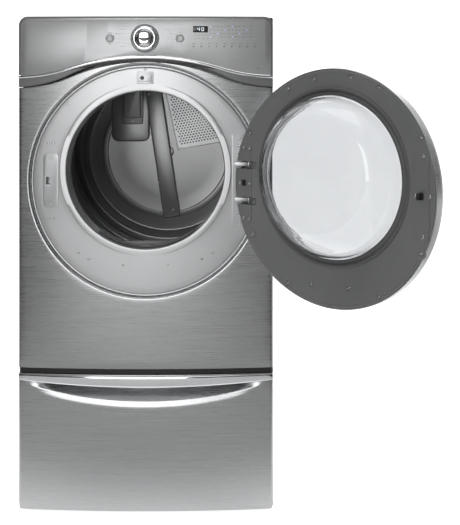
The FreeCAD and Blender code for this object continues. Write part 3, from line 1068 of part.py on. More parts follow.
    strike_y = (bow_at(f"{liner_back} + 1", "dims.latch_x"), bow_at("dims.recess_depth + 13", "dims.latch_x"))
    stem = box("strike_stem", ("-dims.latch_x - 4", "4 - dims.latch_x"), strike_y,
               (f"{DOOR_Z} - 8", f"{DOOR_Z} + 8"))
    root = box("strike_root", ("-dims.latch_x - 7", "7 - dims.latch_x"),
               (bow_at(f"{liner_back} + 1.8", "dims.latch_x - 7"),
                bow_at(f"{liner_back} + 5", "dims.latch_x")),
               (f"{DOOR_Z} - 10", f"{DOOR_Z} + 10"))
    notch = box("strike_notch", ("-dims.latch_x - 5", "5 - dims.latch_x"),
                (f"{strike_y[1]} - 9", f"{strike_y[1]} - 4"), (f"{DOOR_Z} - 5", f"{DOOR_Z} + 5"))
    swing("door_strike", cut("door_strike_all", fuse("strike_solid", stem, root), notch,
                             slab("strike_trim", "-20", f"{liner_back} + 1.8")))

    lugs = [box(f"pin_lug{i}", ("dims.hinge_x - 7", "dims.hinge_x + 11"),
                (f"{HINGE_Y} - 6", f"{HINGE_Y} + 5"),
                (f"{DOOR_Z} + {low}", f"{DOOR_Z} + {high}")) for i, (low, high) in enumerate(PIN_LUGS)]
    spine = box("pin_spine", ("dims.hinge_x + 8", "dims.hinge_x + 11"), (f"{HINGE_Y} - 6", f"{HINGE_Y} - 1"),
                (f"{DOOR_Z} - 62", f"{DOOR_Z} + 62"))
    pin = cylinder("pin_rod", "Z", ("dims.hinge_x", HINGE_Y), "dims.hinge_pin_radius", (f"{DOOR_Z} - 64",
                                                                                       f"{DOOR_Z} + 64"))
    swing("hinge_pin", fuse("hinge_pin_all", pin, spine, *lugs))

    heads = []
    for index, (x, z, over) in enumerate(DOOR_SCREWS):
        base = bow_at(f"{liner_back} + {over}", str(abs(x)))
        heads.append(cylinder(f"screw{index}", "Y", (str(x), f"{DOOR_Z} + {z}"), 4.5,
                              (base, f"{base} + 1.4")))
    swing("door_screws", cut("door_screws_all", fuse("screw_heads", *heads),
                             slab("screw_trim", "-25", liner_back),
                             covers_solid))


def dims_bowl(share):
    """Depth of a bowl ring behind the collar, as a share of the bowl's depth."""
    return f"{share} * dims.bowl_depth"


def pedestal():
    """Drawer pedestal: chassis, rails, drawer, handle strip and feet."""
    inside = f"({HALF} - dims.steel)"
    front_y = f"({EDGE} + dims.drawer_skin + 1)"
    low, high = "dims.chassis_base", DECK
    shell = cut("chassis_shell", box("chassis_outside", (f"-{HALF}", HALF), (front_y, BACK), (low, high)),
                box("chassis_inside", (f"-{inside}", inside), (f"{front_y} - 5", f"{BACK} - dims.steel"),
                    (f"{low} + 2", f"{high} - 2")))
    header = box("chassis_header", (f"-{inside}", inside), (front_y, f"{front_y} + 2"),
                 (f"{high} - 24", high))
    feet_at = [(sx, sy) for sx in (-1, 1) for sy in (-1, 1)]
    plates, bores = [], []
    for index, (sx, sy) in enumerate(feet_at):
        at = (f"{sx} * dims.foot_x", f"{sy} * dims.foot_y")
        plates.append(cylinder(f"foot_boss{index}", "Z", at, 16, (f"{low} + 1", f"{low} + 10")))
        bores.append(cylinder(f"foot_bore{index}", "Z", at, "5 + dims.running_fit",
                              (f"{low} - 5", f"{low} + 20")))
    finish("pedestal_chassis", cut("pedestal_chassis_all", fuse("chassis_solid", shell, header, *plates),
                                   *bores))
    for index, ((sx, sy), label) in enumerate(zip(feet_at, ("left_front", "left_rear", "right_front",
                                                            "right_rear"))):
        at = (f"{sx} * dims.foot_x", f"{sy} * dims.foot_y")
        foot_pad = cylinder(f"foot_pad{index}", "Z", at, "dims.foot_radius", ("0", "dims.foot_tall"))
        stem = cylinder(f"foot_stem{index}", "Z", at, 5, ("dims.foot_tall - 1", "dims.drawer_base - 6"))
        finish(f"levelling_foot_{label}", fuse(f"foot{index}", foot_pad, stem))

    rail_z = "(dims.drawer_base + dims.drawer_tall * 0.5)"
    rail_y = (f"{front_y} + 8", f"{EDGE} + dims.drawer_skin + dims.drawer_deep")
    rails, runners = [], []
    for index, side in enumerate((-1, 1)):
        def across(near, far, side=side):
            ends = (f"{side} * ({inside} - {near})", f"{side} * ({inside} - {far})")
            return ends if side < 0 else (ends[1], ends[0])
        rail_rows = (f"{rail_z} - dims.rail_tall / 2", f"{rail_z} + dims.rail_tall / 2")
        groove_rows = (f"{rail_rows[0]} + 2", f"{rail_rows[1]} - 2")
        rails.append(cut(f"rail{index}", box(f"rail_bar{index}", across("0", "9"), rail_y, rail_rows),
                         box(f"rail_groove{index}", across("2", "20"),
                             (f"{rail_y[0]} - 5", f"{rail_y[1]} - 3"),
                             groove_rows)))
        runner_rows = (f"{groove_rows[0]} + 0.5", f"{groove_rows[1]} - 0.5")
        runners.append(box(f"runner{index}", across("2.6", "dims.rail_wide"), (f"{EDGE} + dims.drawer_skin",
                                                                              f"{rail_y[1]} - 4"),
                           runner_rows))
    finish("slide_rails", fuse("slide_rails_all", *rails))
    finish("slide_runners", fuse("slide_runners_all", *runners))

    half = f"({inside} - dims.rail_wide)"
    tub_y = (f"{EDGE} + dims.drawer_skin", f"{EDGE} + dims.drawer_skin + dims.drawer_deep")
    tub_z = ("dims.drawer_base", "dims.drawer_base + dims.drawer_tall")
    finish("drawer_tub", cut("drawer_tub_all", box("tub_outside", (f"-{half}", half), tub_y, tub_z),
                             box("tub_inside", (f"1.5 - {half}", f"{half} - 1.5"), (f"{tub_y[0]} + 1.5",
                                                                                f"{tub_y[1]} - 1.5"),
                                 (f"{tub_z[0]} + 1.5", f"{tub_z[1]} + 5"))))

    base, top = "dims.drawer_front_base", "dims.drawer_front_top"
    back = f"({EDGE} + dims.drawer_skin)"
    block = rounded("drawer_block", bowed_block("drawer_solid", "0", HALF, back, (base, top)),
                    "dims.corner_radius",
                    front_corner)
    void = rounded("drawer_void", bowed_block("drawer_air", "dims.steel", inside, f"{back} - dims.steel",
                                              (f"{base} + dims.steel", f"{top} - dims.steel")),
                   "dims.corner_radius - dims.steel", front_corner)
    lip = f"({top} - dims.handle_mid_tall)"
    scoop = []
    for index, extra in enumerate(("0", "dims.steel")):
        half = f"(dims.scoop_half_width + {extra})"
        sag = f"(dims.scoop_tall + {extra})"
        bend = f"(({half}^2 + {sag}^2) / (2 * {sag}))"
        roof = f"({top} - 3)" if index == 0 else top
        outline = [(f"-{half}", lip), (f"-{half}", roof), (half, roof), (half, lip, bend, 1)]
        scoop.append(pad(f"scoop{index}", "XZ", outline, f"{APEX} - 60",
                         f"{APEX} + dims.scoop_depth + {extra}"))
    cavity = cut("drawer_cavity", void, scoop[1])
    finish("drawer_front", cut("drawer_front_all", cut("drawer_sheet", block, cavity), scoop[0]))

    proud, edge = "(dims.front_bow + dims.handle_proud)", "dims.handle_edge_proud"
    sagitta = f"({proud} - {edge})"
    strip_half = f"({HALF} - 1)"
    strip_radius = f"(({strip_half}^2 + {sagitta}^2) / (2 * {sagitta}))"
    back_y = bow_at("0", strip_half)
    strip = pad("strip_plan", "XY", [(f"-{strip_half}", back_y),
                                     (f"-{strip_half}", f"{EDGE} - {edge}", strip_radius,
                                                                 -1),
                                     (strip_half, f"{EDGE} - {edge}"), (strip_half, back_y, BOW_RADIUS, 1)],
                f"{base}", f"{top} + 10")
    droop = "(dims.handle_mid_tall - dims.handle_edge_tall)"
    curve = f"(({strip_half}^2 + {droop}^2) / (2 * {droop}))"
    shape = pad("strip_shape", "XZ", [(f"-{strip_half}", f"{top} - 1.5 - dims.handle_edge_tall"),
                                      (f"-{strip_half}", f"{top} - 1.5"), (strip_half, f"{top} - 1.5"),
                                      (strip_half, f"{top} - 1.5 - dims.handle_edge_tall", curve, 1)],
                f"{APEX} - 60", f"{BACK}")
    finish("drawer_handle_strip", common("drawer_handle_strip_all", strip, shape))


SWITCH_Z = (f"({MOUTH_Z} + {COLLAR_RADIUS} + 1)", f"({DOOR_Z} + dims.recess_radius - dims.groove_width - 11)")
PIN_LUGS = ((-62, -54), (-40, -34), (34, 40), (54, 62))
DOOR_SCREWS = (
    (138, 250, 0), (58, 276, 0), (-51, 278, 0), (-135, 254, 0), (-257, 137, 0), (-257, -137, 0),
    (-135, -254, 0),
    (-46, -243, 0), (67, -245, 0), (138, -250, 0), (250, -135, 0), (257, 132, 0),
    (274, 92, 1.8), (256, 92, 1.8), (286, 0, 1.8), (256, 0, 1.8), (274, -92, 1.8), (257, -92, 1.8),
    (-266, 94, 1.8), (-264, -96, 1.8), (-242, 0, 1.8), (-284, 0, 1.8),
)

os.makedirs("parts", exist_ok=True)
doc = FreeCAD.newDocument("dryer")
pieces = []
sheet = make_sheet()
for build in (cabinet, front, console, drum, drive, door, pedestal):
    build()
doc.recompute()

faulty = [o.Name for o in doc.Objects if "Invalid" in o.State or "Error" in o.State]
if faulty:
    raise RuntimeError(f"objects not recomputed: {faulty}")
for piece in pieces:
    if piece.Shape.isNull() or not piece.Shape.isValid() or not piece.Shape.Solids:
        raise RuntimeError(f"{piece.Label}: its shape is empty or not valid")
for piece in pieces:
    piece.Shape.exportStep(f"parts/{piece.Label}.step")
print(len(pieces), "parts written")
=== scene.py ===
import json
import math

import bmesh
import bpy
from mathutils import Matrix, Vector


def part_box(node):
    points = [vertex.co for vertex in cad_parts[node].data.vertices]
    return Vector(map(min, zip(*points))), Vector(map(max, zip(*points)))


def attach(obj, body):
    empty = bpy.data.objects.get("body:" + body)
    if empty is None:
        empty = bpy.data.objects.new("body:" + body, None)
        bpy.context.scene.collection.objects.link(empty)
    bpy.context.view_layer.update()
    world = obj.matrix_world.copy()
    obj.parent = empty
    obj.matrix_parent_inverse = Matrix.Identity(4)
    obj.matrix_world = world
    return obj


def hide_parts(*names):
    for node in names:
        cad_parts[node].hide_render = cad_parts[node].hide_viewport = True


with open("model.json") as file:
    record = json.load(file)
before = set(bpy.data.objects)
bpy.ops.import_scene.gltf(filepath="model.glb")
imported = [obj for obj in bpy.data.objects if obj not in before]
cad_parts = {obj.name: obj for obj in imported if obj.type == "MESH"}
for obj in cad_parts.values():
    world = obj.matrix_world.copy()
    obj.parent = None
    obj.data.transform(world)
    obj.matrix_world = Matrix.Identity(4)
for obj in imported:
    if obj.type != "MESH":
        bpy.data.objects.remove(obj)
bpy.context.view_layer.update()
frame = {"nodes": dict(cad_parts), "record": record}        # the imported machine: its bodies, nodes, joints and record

mm = 0.001               # every size below is in millimetres
scene = bpy.context.scene


def nodeSpan(node):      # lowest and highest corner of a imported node, in millimetres
    low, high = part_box(node)
    return low / mm, high / mm


frontLow, frontHigh = nodeSpan("front_panel")
topHigh = nodeSpan("top_panel")[1]
machine = {
    "half": frontHigh.x,          # middle to side
    "apex": frontLow.y,           # middle of the bowed front
    "bow": 20,                    # how far that stands before the side edges
    "back": topHigh.y,
    "top": topHigh.z,
    "doorZ": 902,
    "mouthZ": 931,
    "collarY": frontLow.y + 8,
    "hingeX": 278,
    "hingeY": frontLow.y - 16.5,
    "doorOpen": 143,              # degrees
    "archKnee": 204,              # where arched lines turn from hump to hollow
}
machine["edge"] = machine["apex"] + machine["bow"]
bowRadius = (machine["half"] ** 2 + machine["bow"] ** 2) / (2 * machine["bow"])


def bowFall(x):          # how far the bowed front falls back, x from the middle
    return bowRadius - math.sqrt(bowRadius ** 2 - x * x)


def bowY(x, depth=0.0):
    return machine["apex"] + depth + bowFall(x)


def archZ(x, base, rise):   # an arched line: a hump in the middle that runs out level at the sides
    half, knee = machine["half"], machine["archKnee"]
    share = knee / half
    whole = (half ** 2 + rise ** 2) / (2 * rise)
    hump, hollow = whole * share, whole * (1 - share)
    x = min(abs(x), half)
    if x <= knee:
        return base + rise - hump + math.sqrt(hump ** 2 - x * x)
    return base + hollow - math.sqrt(hollow ** 2 - (half - x) ** 2)


def smoothStep(low, high, value):
    share = min(max((value - low) / (high - low), 0.0), 1.0)
    return share * share * (3 - 2 * share)


# Modelling steps that every piece goes through
def fresh():             # object mode, nothing selected
    if bpy.context.object and bpy.context.object.mode != "OBJECT":
        bpy.ops.object.mode_set(mode="OBJECT")
    bpy.ops.object.select_all(action="DESELECT")


def only(piece):
    fresh()
    piece.select_set(True)
    bpy.context.view_layer.objects.active = piece
    return piece


def named(name):
    piece = bpy.context.object
    piece.name = name
    piece.data.name = name
    return piece


def settle(piece):       # its place goes into its mesh
    only(piece)
    bpy.ops.object.transform_apply(location=True, rotation=True, scale=True)
    return piece


def pick(piece, test, kind="FACE"):     # edit mode, with what test(middle, normal) chooses selected
    only(piece)
    bpy.ops.object.mode_set(mode="EDIT")
    bpy.ops.mesh.select_mode(type=kind)
    bpy.ops.mesh.select_all(action="DESELECT")
    mesh = bmesh.from_edit_mesh(piece.data)
    for part in {"FACE": mesh.faces, "EDGE": mesh.edges}[kind]:
        if kind == "FACE":
            chosen = test(part.calc_center_median() / mm, part.normal)
        elif kind == "EDGE":
            chosen = test(part.verts[0].co / mm, part.verts[1].co / mm)
        else:
            chosen = test(part.co / mm)
        if chosen:
            part.select_set(True)
    mesh.select_flush_mode()
    bmesh.update_edit_mesh(piece.data)


def done(piece):
    bpy.ops.object.mode_set(mode="OBJECT")
    return piece


def modify(piece, kind, **settings):    # adds a modifier and applies it
    only(piece)
    change = piece.modifiers.new(kind.title(), kind)
    for key, value in settings.items():
        setattr(change, key, value)
    bpy.ops.object.modifier_apply(modifier=change.name)
    return piece


def soften(piece, width, steps=2, angle=35):
    return modify(piece, "BEVEL", width=width * mm, segments=steps, limit_method="ANGLE",
                  angle_limit=math.radians(angle), harden_normals=False)


def smooth(piece, angle=35):
    only(piece)
    bpy.ops.object.shade_smooth_by_angle(angle=math.radians(angle))
    return piece


def outward(piece):
    only(piece)
    bpy.ops.object.mode_set(mode="EDIT")
    bpy.ops.mesh.select_all(action="SELECT")
    bpy.ops.mesh.remove_doubles(threshold=1e-6)
    bpy.ops.mesh.normals_make_consistent(inside=False)
    return done(piece)


def throughLoops(name, loops, ends="open"):
    # A ring of points drawn on from loop to loop. ends: open, capped, or joined (last meets first)
    fresh()
    bpy.ops.mesh.primitive_circle_add(vertices=len(loops[0]), radius=1)
    piece = named(name)
    bpy.ops.object.mode_set(mode="EDIT")
    bpy.ops.mesh.select_all(action="SELECT")
    mesh = bmesh.from_edit_mesh(piece.data)
    spoke = mesh.verts.layers.int.new("spoke")
    for index, vertex in enumerate(mesh.verts):
        vertex[spoke] = index
        vertex.co = Vector(loops[0][index]) * mm
    bmesh.update_edit_mesh(piece.data)
    for loop in loops[1:]:
        bpy.ops.mesh.extrude_region()
        mesh = bmesh.from_edit_mesh(piece.data)
        spoke = mesh.verts.layers.int["spoke"]
        for vertex in mesh.verts:
            if vertex.select:
                vertex.co = Vector(loop[vertex[spoke]]) * mm
        bmesh.update_edit_mesh(piece.data)
    mesh = bmesh.from_edit_mesh(piece.data)
    mesh.verts.layers.int.remove(mesh.verts.layers.int["spoke"])
    bmesh.update_edit_mesh(piece.data)
    bpy.ops.mesh.select_all(action="SELECT")
    bpy.ops.mesh.remove_doubles(threshold=1e-6)
    if ends == "capped":
        bpy.ops.mesh.select_all(action="SELECT")
        bpy.ops.mesh.fill_holes(sides=0)
    bpy.ops.mesh.select_all(action="SELECT")
    bpy.ops.mesh.normals_make_consistent(inside=False)
    return done(piece)


def ring(x, z, radius, y, count=96):    # one round loop about a line along Y
    points = []
    for index in range(count):
        turn = 2 * math.pi * index / count
        points.append((x + radius * math.cos(turn), y, z + radius * math.sin(turn)))
    return points


def turned(name, x, z, profile, count=96, ends="joined"):
    # A round piece about a line along Y; profile lists (radius, y)
    loops = [ring(x, z, max(radius, 0.0), y, count) for radius, y in profile]
    if ends == "joined":
        loops.append(loops[0])
    return throughLoops(name, loops, "open" if ends == "joined" else ends)


def rounded(corners, steps=4):          # a profile whose corners (a, b, radius) are rounded off
    points = []
    for index, corner in enumerate(corners):
        here = Vector(corner[:2])
        size = corner[2] if len(corner) > 2 else 0
        if not size:
            points.append(tuple(here))
            continue
        before = Vector(corners[index - 1][:2]) - here
        after = Vector(corners[(index + 1) % len(corners)][:2]) - here
        half = before.angle(after) / 2
        reach = min(size / math.tan(half), before.length * 0.49, after.length * 0.49)
        start, end = here + before.normalized() * reach, here + after.normalized() * reach
        for step in range(steps + 1):
            share = step / steps
            first = start.lerp(here, share)
            second = here.lerp(end, share)
            points.append(tuple(first.lerp(second, share)))
    return points


def slabFrom(name, outline, near, far):  # a flat plate facing the front, outline in (x, z)
    fresh()
    bpy.ops.mesh.primitive_circle_add(vertices=len(outline), radius=1, fill_type="NGON")
    piece = named(name)
    for vertex, (x, z) in zip(piece.data.vertices, outline):
        vertex.co = (x * mm, near * mm, z * mm)
    bpy.ops.object.mode_set(mode="EDIT")
    bpy.ops.mesh.select_all(action="SELECT")
    bpy.ops.mesh.extrude_region_move(TRANSFORM_OT_translate={"value": (0, (far - near) * mm, 0)})
    bpy.ops.mesh.select_all(action="SELECT")
    bpy.ops.mesh.normals_make_consistent(inside=False)
    return done(piece)


def rimBevel(piece, y, width, steps=3, keep=None):   # rounds the rim that lies at y
    def onRim(a, b):
        return abs(a.y - y) < 0.01 and abs(b.y - y) < 0.01 and (keep is None or keep((a + b) / 2))
    pick(piece, onRim, "EDGE")
    bpy.ops.mesh.bevel(offset=width * mm, segments=steps, affect="EDGES", clamp_overlap=True)
    return done(piece)


def crossCut(piece, places):            # cuts the piece at each x, so that it can follow the bow
    only(piece)
    bpy.ops.object.mode_set(mode="EDIT")
    for x in places:
        bpy.ops.mesh.select_all(action="SELECT")
        bpy.ops.mesh.bisect(plane_co=(x * mm, 0, 0), plane_no=(1, 0, 0))
    return done(piece)


def everyStep(low, high, step):
    count = max(int(round((high - low) / step)), 1)
    return [low + (high - low) * index / count for index in range(count + 1)]


def bowPiece(piece, fall=bowFall):
    for vertex in piece.data.vertices:
        vertex.co.y += fall(vertex.co.x / mm) * mm
    return piece


def boxOutline(low, high, corner=0, steps=5):   # a rectangle in (x, z) with rounded corners
    if not corner:
        return [(low[0], low[1]), (high[0], low[1]), (high[0], high[1]), (low[0], high[1])]
    points = []
    middles = ((high[0] - corner, low[1] + corner, -90), (high[0] - corner, high[1] - corner, 0),
               (low[0] + corner, high[1] - corner, 90), (low[0] + corner, low[1] + corner, 180))
    for x, z, start in middles:
        for step in range(steps + 1):
            turn = math.radians(start + 90 * step / steps)
            points.append((x + corner * math.cos(turn), z + corner * math.sin(turn)))
    return points


def disc(x, z, radius, count=24):       # a round outline in (x, z)
    return [(px, pz) for px, py, pz in ring(x, z, radius, 0, count)]


def block(name, low, high, bevel=0, steps=2):   # a cube set to its corners, its edges softened
    fresh()
    middle = [(a + b) / 2 * mm for a, b in zip(low, high)]
    bpy.ops.mesh.primitive_cube_add(size=1, location=middle)
    piece = named(name)
    piece.scale = [(b - a) * mm for a, b in zip(low, high)]
    settle(piece)
    if bevel:
        soften(piece, bevel, steps)
    return piece


def carve(piece, *tools):               # takes the tools away from the piece
    for tool in tools:
        modify(piece, "BOOLEAN", operation="DIFFERENCE", object=tool, solver="EXACT")
        bpy.data.objects.remove(tool)
    return piece


def joined(name, pieces):
    only(pieces[0])
    for piece in pieces:
        piece.select_set(True)
    if len(pieces) > 1:
        bpy.ops.object.join()
    return named(name)


def twin(source, name, shift=(0, 0, 0), turn=None):   # a copy with its own mesh, in millimetres
    piece = source.copy()
    piece.data = source.data.copy()
    scene.collection.objects.link(piece)
    piece.name = name
    if turn is not None:
        piece.data.transform(turn)
    piece.data.transform(Matrix.Translation(Vector(shift) * mm))
    return piece


def paint(piece, *finishes):
    piece.data.materials.clear()
    for finish in finishes:
        piece.data.materials.append(finish)
    return piece


def openDoor(piece):                    # a door piece modelled closed, turned to where the door stands
    hinge = Vector((machine["hingeX"], machine["hingeY"], 0)) * mm
    turn = Matrix.Rotation(math.radians(machine["doorOpen"]), 4, "Z")
    piece.data.transform(Matrix.Translation(hinge) @ turn @ Matrix.Translation(-hinge))
    return piece


# Camera, light and floor
view = {
    "distance": 3050,        # from the middle of the front
    "x": 331.7,              # of the lens
    "z": 1198.6,
    "fieldWide": 1239.7,     # what the picture takes in across, at the front
    "shiftX": -0.0843478,    # of the lens, in picture widths
    "shiftY": -0.4176087,
}


def setCamera():
    lens = bpy.data.cameras.new("Camera")
    lens.sensor_fit = "HORIZONTAL"
    lens.sensor_width = 36
    lens.lens = lens.sensor_width * view["distance"] / view["fieldWide"]
    lens.shift_x = view["shiftX"]
    lens.shift_y = view["shiftY"]
    lens.clip_end = 60
    camera = bpy.data.objects.new("Camera", lens)
    camera.location = (view["x"] * mm, (machine["edge"] - view["distance"]) * mm, view["z"] * mm)
    camera.rotation_euler = (math.radians(90), 0, 0)
    scene.collection.objects.link(camera)
    scene.camera = camera


studio = {
    "key": ((-0.55, -4.2, 1.5), (0, -0.3, 0.7), (1.6, 2.2), 40),
    "slope": ((-3.2, -1.6, 2.6), (0, -0.3, 0.9), (1.2, 1.6), 9),
    "top": ((0.2, -0.9, 3.2), (0.1, -0.3, 0.6), (2.2, 1.4), 13),
    "rim": ((1.6, 2.6, 2.6), (0.2, 0.2, 0.8), (2.0, 1.6), 14),
    "around": 0.34,
    "flags": (-1.25, 0.92),  # dark cards either side of the front, for its darker edges
}


def setLights():
    for name in ("key", "slope", "top", "rim"):
        place, aim, size, power = studio[name]
        lamp = bpy.data.lights.new(name, "AREA")
        lamp.shape = "RECTANGLE"
        lamp.size, lamp.size_y = size
        lamp.energy = power
        light = bpy.data.objects.new(name, lamp)
        light.location = place
        light.rotation_euler = (Vector(aim) - Vector(place)).to_track_quat("-Z", "Y").to_euler()
        scene.collection.objects.link(light)
    world = bpy.data.worlds.new("Studio")
    scene.world = world
    world.use_nodes = True
    nodes, links = world.node_tree.nodes, world.node_tree.links
    nodes.clear()
    out = nodes.new("ShaderNodeOutputWorld")
    back = nodes.new("ShaderNodeBackground")
    coord = nodes.new("ShaderNodeTexCoord")
    split = nodes.new("ShaderNodeSeparateXYZ")
    ramp = nodes.new("ShaderNodeValToRGB")
    ramp.color_ramp.elements[0].position = 0.30
    ramp.color_ramp.elements[0].color = (0.30, 0.30, 0.30, 1)
    ramp.color_ramp.elements[1].position = 0.85
    ramp.color_ramp.elements[1].color = (0.98, 0.98, 0.99, 1)
    links.new(coord.outputs["Generated"], split.inputs[0])
    links.new(split.outputs["Z"], ramp.inputs["Fac"])
    links.new(ramp.outputs["Color"], back.inputs["Color"])
    back.inputs["Strength"].default_value = studio["around"]
    links.new(back.outputs[0], out.inputs["Surface"])


def setFloor():                         # a pale floor that sweeps up behind the machine
    fresh()
    bpy.ops.mesh.primitive_plane_add(size=1, location=(0.2, -1.0, 0))
    sweep = named("Sweep")
    sweep.scale = (14, 9, 1)
    settle(sweep)
    pick(sweep, lambda a, b: a.y > 3000 and b.y > 3000, "EDGE")
    bpy.ops.mesh.extrude_region_move(TRANSFORM_OT_translate={"value": (0, 0, 6)})
    done(sweep)
    pick(sweep, lambda a, b: a.y > 3000 and b.y > 3000 and a.z < 1 and b.z < 1, "EDGE")
    bpy.ops.mesh.bevel(offset=1.4, segments=16, affect="EDGES")
    done(sweep)
    smooth(sweep, 60)
    return sweep


def setFlags():
    cards = []
    for index, x in enumerate(studio["flags"]):
        fresh()
        bpy.ops.mesh.primitive_plane_add(size=1, location=(x, -2.3, 0.95), rotation=(0, math.radians(90), 0))
        card = named(f"Flag{index}")
        card.scale = (1.8, 2.8, 1)
        settle(card)
        cards.append(card)
    return cards


setCamera()
setLights()
sweep = setFloor()
flags = setFlags()
scene.view_settings.view_transform = "Standard"
print("camera, light and floor set")


# Effects that several finishes share, each a node group
def makeGroup(name, inputs, outputs):
    group = bpy.data.node_groups.new(name, "ShaderNodeTree")
    for label, kind, value in inputs:
        socket = group.interface.new_socket(name=label, in_out="INPUT", socket_type=kind)
        socket.default_value = value
    for label, kind in outputs:
        group.interface.new_socket(name=label, in_out="OUTPUT", socket_type=kind)
    return group, group.nodes.new("NodeGroupInput"), group.nodes.new("NodeGroupOutput")


number, colour = "NodeSocketFloat", "NodeSocketColor"


def addNoise(group, size, detail=3.0, roughness=0.5, stretch=(1, 1, 1)):
    # noise on Object coordinates; size is in features for each metre
    coord = group.nodes.new("ShaderNodeTexCoord")
    mapping = group.nodes.new("ShaderNodeMapping")
    mapping.inputs["Scale"].default_value = stretch
    noise = group.nodes.new("ShaderNodeTexNoise")
    noise.inputs["Scale"].default_value = size
    noise.inputs["Detail"].default_value = detail
    noise.inputs["Roughness"].default_value = roughness
    group.links.new(coord.outputs["Object"], mapping.inputs["Vector"])
    group.links.new(mapping.outputs["Vector"], noise.inputs["Vector"])
    return noise


def addMath(group, kind, first, second):
    node = group.nodes.new("ShaderNodeMath")
    node.operation = kind
    for socket, value in zip(node.inputs, (first, second)):
        if isinstance(value, (int, float)):
            socket.default_value = value
        else:
            group.links.new(value, socket)
    return node.outputs[0]


def addRange(group, value, low, high, toLow, toHigh):
    node = group.nodes.new("ShaderNodeMapRange")
    for socket, size in zip(node.inputs[1:5], (low, high, toLow, toHigh)):
        if isinstance(size, (int, float)):
            socket.default_value = size
        else:
            group.links.new(size, socket)
    group.links.new(value, node.inputs[0])
    return node.outputs[0]


def addMix(group, share, first, second):
    node = group.nodes.new("ShaderNodeMix")
    node.data_type = "RGBA"
    for socket, value in ((node.inputs[0], share), (node.inputs[6], first), (node.inputs[7], second)):
        if isinstance(value, (int, float, tuple)):
            socket.default_value = value
        else:
            group.links.new(value, socket)
    return node.outputs[2]


def brushedGroup():      # level grain lines, as rolled steel has, with slow drifts of tone
    group, start, end = makeGroup("brushedGrain", (
        ("Dark", colour, (0.3, 0.3, 0.3, 1)), ("Light", colour, (0.4, 0.4, 0.4, 1)),
        ("Smooth", number, 0.28), ("Rough", number, 0.42)), (
        ("Color", colour), ("Roughness", number), ("Height", number)))
    fine = addNoise(group, 1, 3, 0.6, (14, 14, 1500))
    coarse = addNoise(group, 1, 2, 0.5, (7, 7, 420))
    drift = addNoise(group, 2.2, 2, 0.5)
    lines = addMath(group, "ADD", addMath(group, "MULTIPLY", fine.outputs["Fac"], 0.6),
                    addMath(group, "MULTIPLY", coarse.outputs["Fac"], 0.4))
    tone = addMath(group, "ADD", addMath(group, "MULTIPLY", lines, 0.75),
                   addMath(group, "MULTIPLY", drift.outputs["Fac"], 0.25))
    share = addRange(group, tone, 0.30, 0.70, 0.0, 1.0)
    group.links.new(addMix(group, share, start.outputs["Dark"], start.outputs["Light"]), end.inputs["Color"])
    group.links.new(addRange(group, lines, 0.35, 0.65, start.outputs["Smooth"], start.outputs["Rough"]),
                    end.inputs["Roughness"])
    group.links.new(lines, end.inputs["Height"])
    return group


def mottleGroup():       # moulded or painted surface: soft drifts of tone and a fine texture
    group, start, end = makeGroup("paintMottle", (
        ("Dark", colour, (0.3, 0.3, 0.3, 1)), ("Light", colour, (0.4, 0.4, 0.4, 1)),
        ("Smooth", number, 0.3), ("Rough", number, 0.45), ("Texture", number, 900.0)), (
        ("Color", colour), ("Roughness", number), ("Height", number)))
    drift = addNoise(group, 5, 4, 0.55)
    pores = addNoise(group, 900, 2, 0.5)
    group.links.new(start.outputs["Texture"], pores.inputs["Scale"])
    blend = addMath(group, "ADD", addMath(group, "MULTIPLY", drift.outputs["Fac"], 0.7),
                    addMath(group, "MULTIPLY", pores.outputs["Fac"], 0.3))
    share = addRange(group, blend, 0.35, 0.65, 0.0, 1.0)
    group.links.new(addMix(group, share, start.outputs["Dark"], start.outputs["Light"]), end.inputs["Color"])
    group.links.new(addRange(group, blend, 0.35, 0.65, start.outputs["Smooth"], start.outputs["Rough"]),
                    end.inputs["Roughness"])
    group.links.new(pores.outputs["Fac"], end.inputs["Height"])
    return group


def dustGroup():         # a little dust that settles on faces that look up, and faint smears
    group, start, end = makeGroup("handledDust", (
        ("Color", colour, (0.3, 0.3, 0.3, 1)), ("Roughness", number, 0.4), ("Amount", number, 0.1)), (
        ("Color", colour), ("Roughness", number)))
    smear = addNoise(group, 3.5, 5, 0.62)
    speck = addNoise(group, 260, 2, 0.5)
    shape = group.nodes.new("ShaderNodeNewGeometry")
    split = group.nodes.new("ShaderNodeSeparateXYZ")
    group.links.new(shape.outputs["Normal"], split.inputs[0])
    up = addRange(group, split.outputs["Z"], 0.3, 1.0, 0.12, 1.0)
    patch = addRange(group, smear.outputs["Fac"], 0.42, 0.72, 0.0, 1.0)
    grit = addRange(group, speck.outputs["Fac"], 0.4, 0.7, 0.4, 1.0)
    cover = addMath(group, "MULTIPLY", addMath(group, "MULTIPLY", patch, grit),
                    addMath(group, "MULTIPLY", up, start.outputs["Amount"]))
    group.links.new(addMix(group, cover, start.outputs["Color"], (0.62, 0.61, 0.59, 1)), end.inputs["Color"])
    rough = addMath(group, "ADD", start.outputs["Roughness"], addMath(group, "MULTIPLY", cover, 0.4))
    group.links.new(rough, end.inputs["Roughness"])
    return group


def weaveGroup():        # pressed wool felt: short crossing fibres
    group, start, end = makeGroup("feltFibre", (
        ("Dark", colour, (0.2, 0.2, 0.2, 1)), ("Light", colour, (0.4, 0.4, 0.4, 1))), (
        ("Color", colour), ("Height", number)))
    across = addNoise(group, 1, 3, 0.6, (2400, 260, 2400))
    along = addNoise(group, 1, 3, 0.6, (260, 2400, 900))
    fibre = addMath(group, "MULTIPLY", across.outputs["Fac"], along.outputs["Fac"])
    share = addRange(group, fibre, 0.12, 0.4, 0.0, 1.0)
    group.links.new(addMix(group, share, start.outputs["Dark"], start.outputs["Light"]), end.inputs["Color"])
    group.links.new(fibre, end.inputs["Height"])
    return group


brushedGrain, paintMottle, handledDust, feltFibre = brushedGroup(), mottleGroup(), dustGroup(), weaveGroup()


